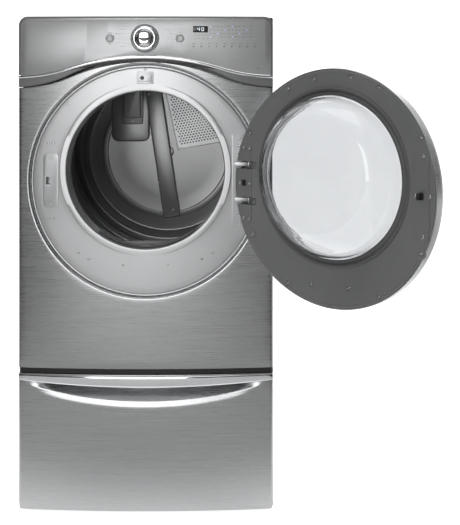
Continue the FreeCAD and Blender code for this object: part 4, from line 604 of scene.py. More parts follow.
def grey(level, tint=0.0):              # a grey, a touch blue with tint
    return (level * (1 - tint), level, level * (1 + tint), 1)


def startFinish(name):
    finish = bpy.data.materials.new(name)
    finish.use_nodes = True
    finish.node_tree.nodes.clear()
    shader = finish.node_tree.nodes.new("ShaderNodeBsdfPrincipled")
    out = finish.node_tree.nodes.new("ShaderNodeOutputMaterial")
    finish.node_tree.links.new(shader.outputs[0], out.inputs["Surface"])
    return finish, finish.node_tree, shader


def placeGroup(tree, group, **values):
    node = tree.nodes.new("ShaderNodeGroup")
    node.node_tree = group
    for key, value in values.items():
        node.inputs[key].default_value = value
    return node


def surface(name, group, dark, light, smoothness, roughness, metal=0.0, height=0.02, depth=0.1, dust=0.08,
            coat=0.0, texture=None, tint=0.01, specular=0.5):
    finish, tree, shader = startFinish(name)
    values = {"Dark": grey(dark, tint), "Light": grey(light, tint), "Smooth": smoothness, "Rough": roughness}
    if texture:
        values["Texture"] = texture
    base = placeGroup(tree, group, **values)
    worn = placeGroup(tree, handledDust, Amount=dust)
    tree.links.new(base.outputs["Color"], worn.inputs["Color"])
    tree.links.new(base.outputs["Roughness"], worn.inputs["Roughness"])
    tree.links.new(worn.outputs["Color"], shader.inputs["Base Color"])
    tree.links.new(worn.outputs["Roughness"], shader.inputs["Roughness"])
    bump = tree.nodes.new("ShaderNodeBump")
    bump.inputs["Strength"].default_value = depth
    bump.inputs["Distance"].default_value = height * mm
    tree.links.new(base.outputs["Height"], bump.inputs["Height"])
    tree.links.new(bump.outputs["Normal"], shader.inputs["Normal"])
    shader.inputs["Metallic"].default_value = metal
    shader.inputs["Specular IOR Level"].default_value = specular
    if coat:
        shader.inputs["Coat Weight"].default_value = coat
        shader.inputs["Coat Roughness"].default_value = 0.12
    return finish


def clear(name, tint, index, roughness=0.02):
    # glass, with the least drift of tone that a poured or pressed sheet has
    finish, tree, shader = startFinish(name)
    drift = placeGroup(tree, paintMottle, Dark=(tint[0] * 0.97, tint[1] * 0.97, tint[2] * 0.98, 1),
                       Light=(*tint, 1), Smooth=roughness, Rough=roughness + 0.015, Texture=40.0)
    tree.links.new(drift.outputs["Color"], shader.inputs["Base Color"])
    tree.links.new(drift.outputs["Roughness"], shader.inputs["Roughness"])
    shader.inputs["Metallic"].default_value = 0.0
    shader.inputs["Transmission Weight"].default_value = 1.0
    shader.inputs["IOR"].default_value = index
    return finish


finishes = {
    "skin": surface("stainlessSkin", brushedGrain, 0.40, 0.48, 0.25, 0.31, metal=0.95, height=0.005,
                    dust=0.03),
    "sides": surface("paintedSides", paintMottle, 0.21, 0.24, 0.42, 0.52, metal=0.15, height=0.03, dust=0.12),
    "galvanised": surface("galvanisedSheet", paintMottle, 0.34, 0.48, 0.35, 0.55, metal=0.8, height=0.05,
                          texture=160.0),
    "face": surface("recessPaint", paintMottle, 0.60, 0.64, 0.30, 0.38, metal=0.55, height=0.01, dust=0.03),
    "shell": surface("consoleShell", paintMottle, 0.20, 0.24, 0.30, 0.42, metal=0.4, height=0.02, dust=0.05),
    "overlay": surface("consoleFoil", brushedGrain, 0.43, 0.49, 0.30, 0.38, metal=0.55, height=0.008,
                       dust=0.03),
    "chrome": surface("chromePlate", paintMottle, 0.84, 0.90, 0.04, 0.09, metal=1.0, height=0.004, dust=0.02,
                      texture=90.0),
    "knob": surface("knobChrome", paintMottle, 0.72, 0.80, 0.08, 0.16, metal=1.0, height=0.004, dust=0.02,
                    texture=90.0),
    "button": surface("buttonCaps", paintMottle, 0.34, 0.40, 0.30, 0.42, metal=0.5, height=0.01, dust=0.03),
    "window": surface("darkWindow", paintMottle, 0.008, 0.014, 0.10, 0.16, height=0.004, dust=0.03, coat=0.4),
    "marks": surface("printedMarks", paintMottle, 0.74, 0.80, 0.40, 0.50, height=0.004, dust=0.02),
    "faintMarks": surface("faintMarks", paintMottle, 0.20, 0.24, 0.40, 0.50, height=0.004, dust=0.02),
    "board": surface("circuitBoard", paintMottle, 0.03, 0.06, 0.35, 0.5, height=0.05, texture=500.0,
                     dust=0.1),
    "drum": surface("drumEnamel", paintMottle, 0.46, 0.50, 0.18, 0.26, metal=0.3, height=0.01, dust=0.03,
                    coat=0.3),
    "baffle": surface("baffleMoulding", paintMottle, 0.38, 0.43, 0.22, 0.32, height=0.02, dust=0.04),
    "bulkhead": surface("bulkheadEnamel", paintMottle, 0.30, 0.34, 0.18, 0.26, metal=0.3, height=0.01,
                        dust=0.03,
                        coat=0.3),
    "grille": surface("grilleSteel", paintMottle, 0.82, 0.90, 0.28, 0.38, metal=0.35, height=0.01, dust=0.04),
    "lens": surface("lampLens", paintMottle, 0.42, 0.50, 0.16, 0.26, height=0.02, dust=0.04, texture=200.0),
    "motor": surface("motorCase", paintMottle, 0.16, 0.22, 0.35, 0.5, metal=0.6, height=0.06, dust=0.2),
    "steel": surface("machinedSteel", brushedGrain, 0.42, 0.56, 0.18, 0.32, metal=1.0, height=0.01,
                     dust=0.04),
    "duct": surface("ductSteel", paintMottle, 0.42, 0.55, 0.28, 0.42, metal=0.9, height=0.04, texture=120.0,
                    dust=0.12),
    "wire": surface("heaterWire", paintMottle, 0.07, 0.12, 0.45, 0.6, metal=0.7, height=0.03, dust=0.1),
    "black": surface("blackMoulding", paintMottle, 0.010, 0.018, 0.32, 0.46, height=0.03, dust=0.06),
    "greyPlastic": surface("greyMoulding", paintMottle, 0.13, 0.17, 0.4, 0.55, height=0.04, dust=0.1),
    "rubber": surface("beltRubber", paintMottle, 0.012, 0.022, 0.55, 0.7, height=0.06, dust=0.15),
    "filter": surface("filterMoulding", paintMottle, 0.13, 0.16, 0.28, 0.40, height=0.02, dust=0.05),
    "liner": surface("doorLiner", paintMottle, 0.20, 0.225, 0.34, 0.46, height=0.03, dust=0.04),
    "cover": surface("doorCovers", paintMottle, 0.185, 0.21, 0.36, 0.48, height=0.03, dust=0.04),
    "rim": surface("doorRim", paintMottle, 0.52, 0.60, 0.20, 0.32, metal=0.6, height=0.01, dust=0.04),
    "seal": surface("sealRubber", paintMottle, 0.115, 0.14, 0.40, 0.55, height=0.04, dust=0.04),
    "glass": clear("doorGlass", (0.72, 0.73, 0.735), 1.30),
    "bowl": clear("bowlGlass", (0.84, 0.85, 0.855), 1.42),
}


def feltFinish():
    finish, tree, shader = startFinish("woolFelt")
    weave = placeGroup(tree, feltFibre, Dark=grey(0.09), Light=grey(0.17))
    bump = tree.nodes.new("ShaderNodeBump")
    bump.inputs["Strength"].default_value = 0.5
    bump.inputs["Distance"].default_value = 0.3 * mm
    tree.links.new(weave.outputs["Color"], shader.inputs["Base Color"])
    tree.links.new(weave.outputs["Height"], bump.inputs["Height"])
    tree.links.new(bump.outputs["Normal"], shader.inputs["Normal"])
    shader.inputs["Roughness"].default_value = 0.95
    shader.inputs["Sheen Weight"].default_value = 0.3
    return finish


def glowFinish(name, lamp, strength):   # a lit display element
    finish = surface(name, paintMottle, 0.5, 0.6, 0.3, 0.4, height=0.004, dust=0.0)
    shader = next(n for n in finish.node_tree.nodes if n.type == "BSDF_PRINCIPLED")
    shader.inputs["Emission Color"].default_value = (*lamp, 1)
    shader.inputs["Emission Strength"].default_value = strength
    return finish


def backLightGroup():    # the backdrop's glow, left off where it would shine on the front
    group, start, end = makeGroup("backLight", (("Color", colour, (1, 1, 1, 1)),), (("Color", colour),))
    coord = group.nodes.new("ShaderNodeTexCoord")
    split = group.nodes.new("ShaderNodeSeparateXYZ")
    group.links.new(coord.outputs["Object"], split.inputs[0])
    behind = addRange(group, split.outputs["Y"], -0.8, -0.45, 0.0, 1.0)
    wellBehind = addRange(group, split.outputs["Y"], 0.5, 1.1, 0.0, 1.0)
    aside = addMath(group, "ABSOLUTE", addMath(group, "SUBTRACT", split.outputs["X"], 0.1), 0.0)
    near = addRange(group, aside, 1.0, 1.6, 1.0, 0.0)
    share = addMath(group, "MULTIPLY", behind, addMath(group, "MAXIMUM", wellBehind, near))
    group.links.new(addMix(group, share, (0, 0, 0, 1), start.outputs["Color"]), end.inputs["Color"])
    return group


def sweepFinish():
    finish, tree, shader = startFinish("paleSweep")
    base = placeGroup(tree, paintMottle, Dark=grey(0.93), Light=grey(0.96), Smooth=0.75, Rough=0.85,
                      Texture=30.0)
    tree.links.new(base.outputs["Color"], shader.inputs["Base Color"])
    tree.links.new(base.outputs["Roughness"], shader.inputs["Roughness"])
    shader.inputs["Specular IOR Level"].default_value = 0.15
    glow = placeGroup(tree, backLightGroup())
    tree.links.new(glow.outputs["Color"], shader.inputs["Emission Color"])
    shader.inputs["Emission Strength"].default_value = 0.75
    return finish


finishes["felt"] = feltFinish()
finishes["digits"] = glowFinish("litDigits", (0.80, 0.92, 1.0), 1.6)
finishes["blue"] = glowFinish("blueLamps", (0.10, 0.35, 1.0), 1.6)
paint(sweep, sweepFinish())
for card in flags:
    paint(card, surface("flagCloth", paintMottle, 0.03, 0.04, 0.8, 0.9, dust=0.0))
print("finishes mixed")


def fit(piece, body, slotName, finish, *nodes):   # finish, body, slot (not used) and what it stands for
    if finish:
        paint(piece, finish)
    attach(piece, body)
    if nodes:
        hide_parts(*nodes)
    return piece


# Front: outer skin, groove, recessed face, collar and neck
frontSizes = {
    "corner": 8,             # upright corners
    "edgeFold": 2,           # upper and lower edge
    "bottom": frontLow.z,
    "archBase": 1152,
    "archRise": 70,
    "returnY": frontHigh.y,  # how far the side folds reach back
    "recess": 312,           # outside of the groove
    "grooveWidth": 8,
    "faceDepth": 8,
    "collar": 230,
    "mouth": 212,
    "bulkhead": -297.2,
    "sheet": 1.2,
    "spokes": 288,
}


def frontEdge(x, z, inset, fold):       # where a ray from the door's centre leaves the front
    half = machine["half"] - inset
    low = frontSizes["bottom"] + fold
    reach = 1e9
    if abs(x) > 1e-9:
        reach = half / abs(x)
    if z < 0:
        reach = min(reach, (machine["doorZ"] - low) / -z)
    near, far = 0.0, reach
    if z > 0:
        for step in range(40):
            middle = (near + far) / 2
            top = archZ(x * middle, frontSizes["archBase"], frontSizes["archRise"]) - fold
            if machine["doorZ"] + z * middle > top:
                far = middle
            else:
                near = middle
        reach = near
    return x * reach, machine["doorZ"] + z * reach


def frontSpokes():
    turns = [2 * math.pi * index / frontSizes["spokes"] for index in range(frontSizes["spokes"])]
    low = frontSizes["bottom"] + 2 - machine["doorZ"]
    high = frontSizes["archBase"] - 2 - machine["doorZ"]
    for x, z in ((335, low), (-335, low), (335, high), (-335, high)):
        corner = math.atan2(z, x) % (2 * math.pi)
        turns[min(range(len(turns)), key=lambda i: abs(turns[i] - corner))] = corner
    return [(math.cos(turn), math.sin(turn)) for turn in turns]


def makeFront():
    sizes = frontSizes
    spokes = frontSpokes()
    doorZ, mouthZ, collarY = machine["doorZ"], machine["mouthZ"], machine["collarY"]

    def outline(share, back=0.0):        # the outer edge, share 0 flat to 1 turned full back
        inset = sizes["corner"] * (1 - math.sin(share * math.pi / 2))
        fold = sizes["edgeFold"] * (1 - math.sin(share * math.pi / 2))
        loop = []
        for dx, dz in spokes:
            flatX, flatZ = frontEdge(dx, dz, sizes["corner"], sizes["edgeFold"])
            onSide = abs(abs(flatX) - (machine["half"] - sizes["corner"])) < 0.02
            drop = 1 - math.cos(share * math.pi / 2)
            x, z = flatX, flatZ
            if onSide:
                x = math.copysign(machine["half"] - inset, flatX)
                y = bowY(flatX) + sizes["corner"] * drop
                atEnd = flatZ < sizes["bottom"] + 2.1 or flatZ > sizes["archBase"] - 2.1
                if atEnd:
                    z = flatZ + math.copysign(sizes["edgeFold"] - fold, flatZ - doorZ)
            else:
                z = flatZ + math.copysign(sizes["edgeFold"] - fold, dz)
                y = bowY(flatX) + sizes["edgeFold"] * drop
            if back:
                y = y + (sizes["returnY"] - y) * back if onSide else y + 9 * back
            loop.append((x, y, z))
        return loop

    def faceRing(radius, depth, centreZ=doorZ):
        return [(dx * radius, bowY(dx * radius, depth), centreZ + dz * radius) for dx, dz in spokes]

    loops = [outline(1, 1), outline(1, 0.5), outline(1, 0.08), outline(1), outline(0.75), outline(0.5),
             outline(0.25), outline(0)]
    flat = outline(0)
    inner = faceRing(sizes["recess"] + 7, 0)
    for share in (0.12, 0.25, 0.38, 0.5, 0.62, 0.74, 0.86, 0.94):
        loop = []
        for (ax, ay, az), (bx, by, bz) in zip(flat, inner):
            x, z = ax + (bx - ax) * share, az + (bz - az) * share
            loop.append((x, bowY(x), z))
        loops.append(loop)
    recess, groove = sizes["recess"], sizes["recess"] - sizes["grooveWidth"]
    profile = [(recess + 7, 0), (recess + 5, 0.25), (recess + 3.2, 0.9), (recess + 1.6, 2.1),
               (recess + 0.5, 3.8),
               (recess, 6), (recess, 15), (recess - 0.6, 18), (recess - 2, 19.6), (recess - 4, 20),
               (groove + 2, 19.6), (groove + 0.6, 18), (groove, 15), (groove, 11), (groove - 0.5, 9.2),
               (groove - 1.6, 8.2), (groove - 3.2, 8)]
    loops += [faceRing(radius, depth) for radius, depth in profile]
    for share in (0.2, 0.4, 0.6, 0.8, 1.0):
        radius = (groove - 3.2) + (sizes["collar"] + 3 - groove + 3.2) * share
        loops.append(faceRing(radius, 8, doorZ + (mouthZ - doorZ) * share))

    def collarLoop(radius, lift):        # lift 0 on the face, 1 up on the flat collar
        loop = []
        for dx, dz in spokes:
            x = dx * radius
            face = bowY(x, sizes["faceDepth"])
            loop.append((x, face + (collarY - face) * lift, mouthZ + dz * radius))
        return loop

    collar = sizes["collar"]
    loops += [collarLoop(collar + 1.2, 0.02), collarLoop(collar + 0.3, 0.12), collarLoop(collar, 0.3),
              collarLoop(collar, 0.75), collarLoop(collar - 0.4, 0.92), collarLoop(collar - 1.5, 1.0)]
    mouth = sizes["mouth"]
    for radius, y in ((mouth + 9, 0), (mouth + 4, 0), (mouth + 2, 0.25), (mouth + 0.7, 1.1), (mouth, 2.8),
                      (mouth, 12), (mouth, 30), (mouth, 50), (mouth, sizes["bulkhead"] - collarY)):
        loops.append([(dx * radius, collarY + y, mouthZ + dz * radius) for dx, dz in spokes])
    piece = throughLoops("frontSkin", loops)
    only(piece)
    count = sum(1 for face in piece.data.polygons if face.normal.y < -0.5)
    if count < len(piece.data.polygons) / 3:     # the skin looks to the front
        bpy.ops.object.mode_set(mode="EDIT")
        bpy.ops.mesh.select_all(action="SELECT")
        bpy.ops.mesh.flip_normals()
        done(piece)
    modify(piece, "SOLIDIFY", thickness=sizes["sheet"] * mm, offset=-1, use_even_offset=False)
    slot = block("filterSlot", (-122, -338, 640), (122, -310, 871))
    latch = block("latchHole", (-271, -420, 889), (-253, -330, 915))
    switch = block("switchHole", (-18.3, -420, 1166), (18.3, -330, 1191))
    carve(piece, slot, latch, switch)
    smooth(piece, 28)
    paint(piece, finishes["skin"], finishes["face"], finishes["bulkhead"])
    limit = sizes["recess"] - 4
    for face in piece.data.polygons:
        middle = face.center / mm
        if math.hypot(middle.x, middle.z - doorZ) < limit:
            face.material_index = 1
        if math.hypot(middle.x, middle.z - mouthZ) < sizes["mouth"] + 3 and middle.y > collarY + 0.5:
            face.material_index = 2
    return fit(piece, "cabinet", "stainless", None, "front_panel")


frontSkin = makeFront()

screwSizes = {"radius": 4.5, "tall": 1.9, "recess": 2.1, "recessDeep": 1.2}


def makeScrew():                        # one dome head with a six-lobed recess, facing the front at the origin
    sizes = screwSizes
    count = 24
    loops = []
    for radius, y in ((sizes["radius"] * 0.9, 0.4), (sizes["radius"], 0.2), (sizes["radius"], -0.3),
                      (sizes["radius"] * 0.93, -0.9), (sizes["radius"] * 0.75, -1.5),
                      (sizes["radius"] * 0.55, -sizes["tall"])):
        loops.append(ring(0, 0, radius, y, count))
    for y in (-sizes["tall"], -sizes["tall"] + sizes["recessDeep"]):
        loop = []
        for index in range(count):
            turn = 2 * math.pi * index / count
            radius = sizes["recess"] * (0.86 + 0.14 * math.cos(6 * turn))
            loop.append((radius * math.cos(turn), y, radius * math.sin(turn)))
        loops.append(loop)
    return smooth(throughLoops("screwHead", loops, "capped"), 40)


screwModel = makeScrew()


def screwsAt(name, places, size=1.0):   # copies of the screw at (x, y, z), joined
    copies = []
    for index, place in enumerate(places):
        turn = Matrix.Rotation(index * 0.7, 4, "Y") @ Matrix.Scale(size, 4)
        copies.append(twin(screwModel, f"{name}{index}", place, turn))
    return joined(name, copies)


faceFittings = {
    "plateLow": (-276, 829), "plateHigh": (-234, 975),   # latch plate
    "plateCorner": 12,
    "plateProud": 1.8,
    "switchLow": (-22, 1162), "switchHigh": (22, 1195),
    "bracketLow": (232, 777), "bracketHigh": (262, 1027),
    "bracketProud": 2.5,
    "armZ": (855, 949),
    "armTall": 12,
    "reach": 34,
}


def makeLatchPlate():
    sizes = faceFittings
    outline = boxOutline(sizes["plateLow"], sizes["plateHigh"], sizes["plateCorner"], 6)
    near = machine["apex"] + 8 - sizes["plateProud"]
    piece = slabFrom("latchPlate", outline, near, machine["apex"] + 8)
    rimBevel(piece, near, 1.0)
    hole = block("latchCut", (-269.5, -420, 891), (-254.5, -300, 913))
    carve(piece, hole)
    crossCut(piece, everyStep(-272, -238, 6))
    bowPiece(piece)
    # the catch box behind its slot
    faceY = bowY(262, 9.2)
    catchBox = block("catchBox", (-274, faceY + 3, 880), (-250, faceY + 32, 924), 1)
    hollow = block("catchHollow", (-269.5, faceY - 20, 891), (-254.5, faceY + 29, 913))
    carve(catchBox, hollow)
    sleeve = slabFrom("catchSleeve", boxOutline((-270.7, 889.3), (-253.3, 914.7), 1.2, 3), faceY - 3.4,
                      faceY + 4)
    core = block("sleeveCore", (-269.5, faceY - 20, 891), (-254.5, faceY + 29, 913))
    carve(sleeve, core)
    piece = smooth(joined("latchPlate", [piece, catchBox, sleeve]))
    return fit(piece, "cabinet", "cover_grey", finishes["face"], "latch_plate")


makeLatchPlate()


def makeSwitch():
    sizes = faceFittings
    collarY = machine["collarY"]
    flange = slabFrom("doorSwitch", boxOutline(sizes["switchLow"], sizes["switchHigh"], 3, 4),
                      collarY - 1.8, collarY)
    rimBevel(flange, collarY - 1.8, 0.7)
    rib = slabFrom("switchRib", boxOutline((-17, 1168), (17, 1189), 2, 4), collarY - 2.8, collarY - 1.2)
    rimBevel(rib, collarY - 2.8, 0.6)
    case = block("switchCase", (-18, collarY, 1166.3), (18, collarY + 26, 1190.7), 1)
    bore = turned("plungerBore", -8, 1178.5, [(5.4, collarY - 6), (5.4, collarY + 22)], 32, "capped")
    boreTwo = twin(bore, "plungerBoreTwo")
    boreThree = twin(bore, "plungerBoreThree")
    carve(flange, bore)
    carve(rib, boreTwo)
    carve(case, boreThree)
    piece = smooth(joined("doorSwitch", [flange, rib, case]))
    fit(piece, "cabinet", "cover_grey", finishes["face"], "door_switch")
    profile = [(0.01, collarY - 7.5), (3.4, collarY - 7.3), (4.6, collarY - 6.4), (5, collarY - 5),
               (5, collarY + 12),
               (2.5, collarY + 12), (2.5, collarY + 17), (0.01, collarY + 17)]
    plunger = smooth(turned("switchPlunger", -8, 1178.5, profile, 32, "capped"))
    fit(plunger, "plunger", "black_plastic", finishes["greyPlastic"], "switch_plunger")


makeSwitch()


def makeHingeBracket():
    sizes = faceFittings
    near = machine["apex"] + 8 - sizes["bracketProud"]
    plate = slabFrom("hingeBracket", boxOutline(sizes["bracketLow"], sizes["bracketHigh"], 3, 4), near,
                     machine["apex"] + 8)
    rimBevel(plate, near, 0.8)
    crossCut(plate, everyStep(236, 258, 6))
    bowPiece(plate)
    parts = [plate]
    hingeX, hingeY = machine["hingeX"], machine["hingeY"]
    bend = hingeX - sizes["reach"]
    land = bowY(bend, 7)
    for index, z in enumerate(sizes["armZ"]):
        low, high = z - sizes["armTall"] / 2, z + sizes["armTall"] / 2
        arm = block(f"armReach{index}", (bend - 4, hingeY - 4, low), (hingeX, hingeY + 4, high), 1.2, 3)
        stem = block(f"armStem{index}", (bend - 4, hingeY - 3.9, low + 0.3), (bend + 4, land, high - 0.3),
                     1.2, 3)
        gusset = slabFrom(f"armGusset{index}", [(0, 0), (12, 0), (0, 12)], -1.5, 1.5)
        gusset.data.transform(Matrix.Translation(Vector((bend + 3.8, hingeY + 3.8, z)) * mm)
                              @ Matrix.Rotation(math.radians(-90), 4, "X"))
        eye = turned(f"armEye{index}", 0, 0, rounded([(3.6, -6, 0.5), (6.5, -6, 0.8), (6.5, 6, 0.8),
                                                      (3.6, 6, 0.5)], 2),
                     32)
        eye.data.transform(Matrix.Translation(Vector((hingeX, hingeY, z)) * mm)
                           @ Matrix.Rotation(math.radians(90), 4, "X"))
        bore = turned(f"armBore{index}", 0, 0, [(3.56, -30), (3.56, 30)], 32, "capped")
        bore.data.transform(Matrix.Translation(Vector((hingeX, hingeY, z)) * mm)
                            @ Matrix.Rotation(math.radians(90), 4, "X"))
        carve(arm, bore)
        parts += [arm, stem, gusset, eye]
    piece = smooth(joined("hingeBracket", parts))
    fit(piece, "cabinet", "machined_steel", finishes["face"], "hinge_bracket")
    rows = (788, 808, 830, 880, 924, 974, 996, 1016)
    screws = screwsAt("hingeScrews", [(252, bowY(252, 5.5), z) for z in rows], 0.85)
    fit(screws, "cabinet", "machined_steel", finishes["steel"])


makeHingeBracket()


def makeFaceScrews():
    # by (x, z): two on the latch plate, pairs above and below it, and those low on the face
    places = [(-256, 962, 6.2), (-256, 842, 6.2), (-262, 1003, 8), (-248, 1003, 8), (-262, 800, 8),
              (-246, 800, 8),
              (-180, 708, 8), (-152, 691, 8), (152, 691, 8), (180, 708, 8), (0, 1201, 8), (-60, 676, 8),
              (60, 676, 8),
              (-205, 1108, 8), (205, 1108, 8)]
    spots = [(x, bowY(x, depth), z) for x, z, depth in places]
    piece = screwsAt("faceScrews", spots, 0.75)
    return fit(piece, "cabinet", "machined_steel", finishes["steel"])


makeFaceScrews()
print("front, latch and hinge made")


# Console: shell, metal overlay, trim strip, knob, buttons, display and printed marks
consoleSizes = {
    "base": 1153.5, "rise": 78,          # lower edge
    "corner": 24,
    "backY": machine["edge"] + 62,
    "inset": 8,                          # border round the overlay
    "overlayBase": 1187.5, "overlayRise": 50.9,
    "stripBase": 1177.4, "stripRise": 52.3, "stripTall": 8.5,
    "knobZ": 1284.5, "knob": 34,
    "buttonX": 93, "button": 10,
    "windowLow": (128.6, 1300.3), "windowHigh": (168.6, 1317.3),
}


def consoleOutline(inset, base, rise, step=7):
    half = machine["half"] - inset
    roof, corner = machine["top"] - inset, consoleSizes["corner"] - inset * 0.6
    points = []
    for x in everyStep(-half, half, step):
        points.append((x, archZ(x * machine["half"] / half, base, rise)))
    for middle, start in ((half - corner, 0), (corner - half, 90)):
        for index in range(9):
            turn = math.radians(start + 90 * index / 8)
            points.append((middle + corner * math.cos(turn), roof - corner + corner * math.sin(turn)))
    return points


def makeConsole():
    sizes = consoleSizes
    apex = machine["apex"]
    shell = slabFrom("consoleShell", consoleOutline(0, sizes["base"], sizes["rise"]), apex,
                     sizes["backY"] - 20)
    hollow = slabFrom("consoleHollow", consoleOutline(3, sizes["base"] + 4, sizes["rise"]), apex + 3,
                      sizes["backY"] + 10)
    rimBevel(shell, apex, 4.5, 4)
    carve(shell, hollow)
    crossCut(shell, everyStep(-329, 329, 14))
    bowPiece(shell)
    for vertex in shell.data.vertices:       # its back stays flat against the top panel
        if vertex.co.y / mm > sizes["backY"] - 25:
            vertex.co.y = sizes["backY"] * mm
    smooth(shell, 30)
    fit(shell, "cabinet", "console_shell", finishes["shell"], "console_frame")

    near = apex - 1.6
    overlay = slabFrom("consoleOverlay", consoleOutline(sizes["inset"], sizes["overlayBase"],
                                                        sizes["overlayRise"]),
                       near, apex + 0.5)
    rimBevel(overlay, near, 0.9, 2)
    holes = [slabFrom("windowHole", boxOutline(sizes["windowLow"], sizes["windowHigh"], 1.5, 3), -420, -350)]
    for side in (-1, 1):
        holes.append(slabFrom("buttonHole", disc(side * sizes["buttonX"], sizes["knobZ"],
                                                 sizes["button"] + 0.9, 40),
                              -420, -350))
    carve(overlay, *holes)
    crossCut(overlay, everyStep(-322, 322, 14))
    bowPiece(overlay)
    smooth(overlay, 30)
    fit(overlay, "cabinet", "console_face", finishes["overlay"], "console_overlay")
    frameLine = slabFrom("overlayFrame", consoleOutline(sizes["inset"] - 2.2, sizes["overlayBase"] - 1.5,
                                                        sizes["overlayRise"]), apex - 0.9, apex + 0.5)
    core = slabFrom("overlayFrameCore", consoleOutline(sizes["inset"] + 0.4, sizes["overlayBase"] - 9,
                                                       sizes["overlayRise"]), apex - 5, apex + 5)
    rimBevel(frameLine, apex - 0.9, 0.4, 2)
    carve(frameLine, core)
    crossCut(frameLine, everyStep(-322, 322, 14))
    bowPiece(frameLine)
    fit(smooth(frameLine, 30), "cabinet", "chrome_trim", finishes["rim"])

    section = [(-0.2, 0.4), (-0.2, 8.1), (1.6, 8.4), (3.6, 8.1), (5.0, 7.2), (5.8, 5.8), (6.0, 4.4),
               (5.7, 2.6),
               (4.6, 1.0), (2.8, 0.2), (1.2, 0.05)]
    loops = []
    for x in everyStep(-machine["half"] + 0.5, machine["half"] - 0.5, 4):
        taper = 0.35 + 0.65 * smoothStep(0, 9, machine["half"] - abs(x))
        low = archZ(x, sizes["stripBase"], sizes["stripRise"])
        loops.append([(x, bowY(x) - out * taper, low + up * (sizes["stripTall"] + 1.3) / 8.5) for out,
                      up in section])
    strip = smooth(throughLoops("trimStrip", loops, "capped"), 40)
    fit(strip, "cabinet", "chrome_trim", finishes["chrome"], "console_trim_strip")
    # a black piece painted as the shadow in the gap that follows the strip's lower side and runs out towards the sides
    loops = []
    for x in everyStep(-215, 215, 9):
        tall = 6.5 * smoothStep(215, 120, abs(x)) + 0.4
        low = archZ(x, sizes["stripBase"], sizes["stripRise"])
        loops.append([(x, bowY(x) - 0.5, low + 1), (x, bowY(x) - 0.5, low - tall),
                      (x, bowY(x) + 1, low - tall),
                      (x, bowY(x) + 1, low + 1)])
    gap = smooth(throughLoops("stripPaintedShadow", loops, "capped"), 30)
    fit(gap, "cabinet", "black_plastic", finishes["black"])


makeConsole()


def makeKnob():
    sizes = consoleSizes
    face = machine["apex"] - 1.6
    z = sizes["knobZ"]
    ringProfile = rounded([(34.6, face + 0.6), (34.6, face - 2.6, 0.8), (37.6, face - 2.2, 1.0),
                           (38.4, face + 0.6)], 3)
    bezel = smooth(turned("knobBezel", 0, z, ringProfile), 40)
    fit(bezel, "cabinet", "chrome_trim", finishes["shell"])
    profile = [(34, face), (34, face - 3), (33.6, face - 8), (32.8, face - 12.5), (31.6, face - 14.6),
               (29.6, face - 15.8), (27.4, face - 16.2), (26, face - 15.9), (25.4, face - 15.2), (25.2, face)]
    skirt = turned("controlKnob", 0, z, profile, 120)
    for vertex in skirt.data.vertices:       # fine flutes round the grip
        across, up = vertex.co.x / mm, vertex.co.z / mm - z
        radius = math.hypot(across, up)
        if radius > 33 and face - 12 < vertex.co.y / mm < face - 2.5:
            turn = math.atan2(up, across)
            shrink = 1 - 0.012 * (0.5 + 0.5 * math.cos(60 * turn))
            vertex.co.x, vertex.co.z = across * shrink * mm, (up * shrink + z) * mm
    shaft = block("knobShaft", (-3, face - 2, z - 3), (3, -350, z + 3), 0.5)
    skirt = smooth(joined("controlKnob", [skirt, shaft]), 35)
    fit(skirt, "knob", "knob_finish", finishes["chrome"], "control_knob")
    grooveProfile = [(25.2, face - 1), (25.2, face - 14.2), (24.2, face - 15), (23.6, face - 14.8),
                     (23.6, face - 1)]
    groove = smooth(turned("knobGroove", 0, z, grooveProfile), 40)
    fit(groove, "knob", "knob_finish", finishes["black"])
    dome = [(23.4, face - 1), (23.4, face - 15.2), (22.8, face - 16.6), (21, face - 17.6), (17, face - 18.6),
            (12, face - 19.3), (6, face - 19.7), (0.01, face - 19.8)]
    cap = smooth(turned("knobCap", 0, z, dome, 96, "capped"), 40)
    fit(cap, "knob", "knob_finish", finishes["knob"])
    outline = []
    for index in range(25):                  # half moon inlay
        turn = math.pi + math.pi * index / 24
        outline.append((13.5 * math.cos(turn), z + 1.5 + 9.5 * math.sin(turn)))
    inlay = slabFrom("knobInlay", outline, face - 19.9, face - 16)
    rimBevel(inlay, face - 19.9, 0.5)
    fit(smooth(inlay, 40), "knob", "knob_finish", finishes["window"])
    lamp = slabFrom("knobLamp", boxOutline((-1.2, z + 26.6), (1.2, z + 30.4), 1.1, 4), face - 16.6, face - 14)
    fit(smooth(lamp), "knob", "knob_finish", finishes["blue"])


makeKnob()


def makeButtons():
    sizes = consoleSizes
    z = sizes["knobZ"]
    for side, node, body in ((-1, "power_button", "power_key"), (1, "start_button", "start_key")):
        x = side * sizes["buttonX"]
        face = bowY(x) - 1.2
        radius = sizes["button"]
        profile = [(0.01, face - 2.3), (radius * 0.5, face - 2.4), (radius * 0.8, face - 2.75),
                   (radius - 1.1, face - 3),
                   (radius - 0.35, face - 2.7), (radius, face - 1.9), (radius, face + 8), (3, face + 8),
                   (3, machine["apex"] + 14), (0.01, machine["apex"] + 14)]
        cap = smooth(turned(node + "Cap", x, z, profile, 48, "capped"), 40)
        fit(cap, body, "knob_finish", finishes["button"], node)
        collar = turned(node + "Ring", x, z, rounded([(radius + 0.7, face + 0.6),
                                                      (radius + 0.7, face - 1.1, 0.4),
                                                      (radius + 2.6, face - 0.7, 0.5),
                                                      (radius + 2.9, face + 0.6)], 2), 48)
        fit(smooth(collar, 40), "cabinet", "chrome_trim", finishes["rim"])


makeButtons()


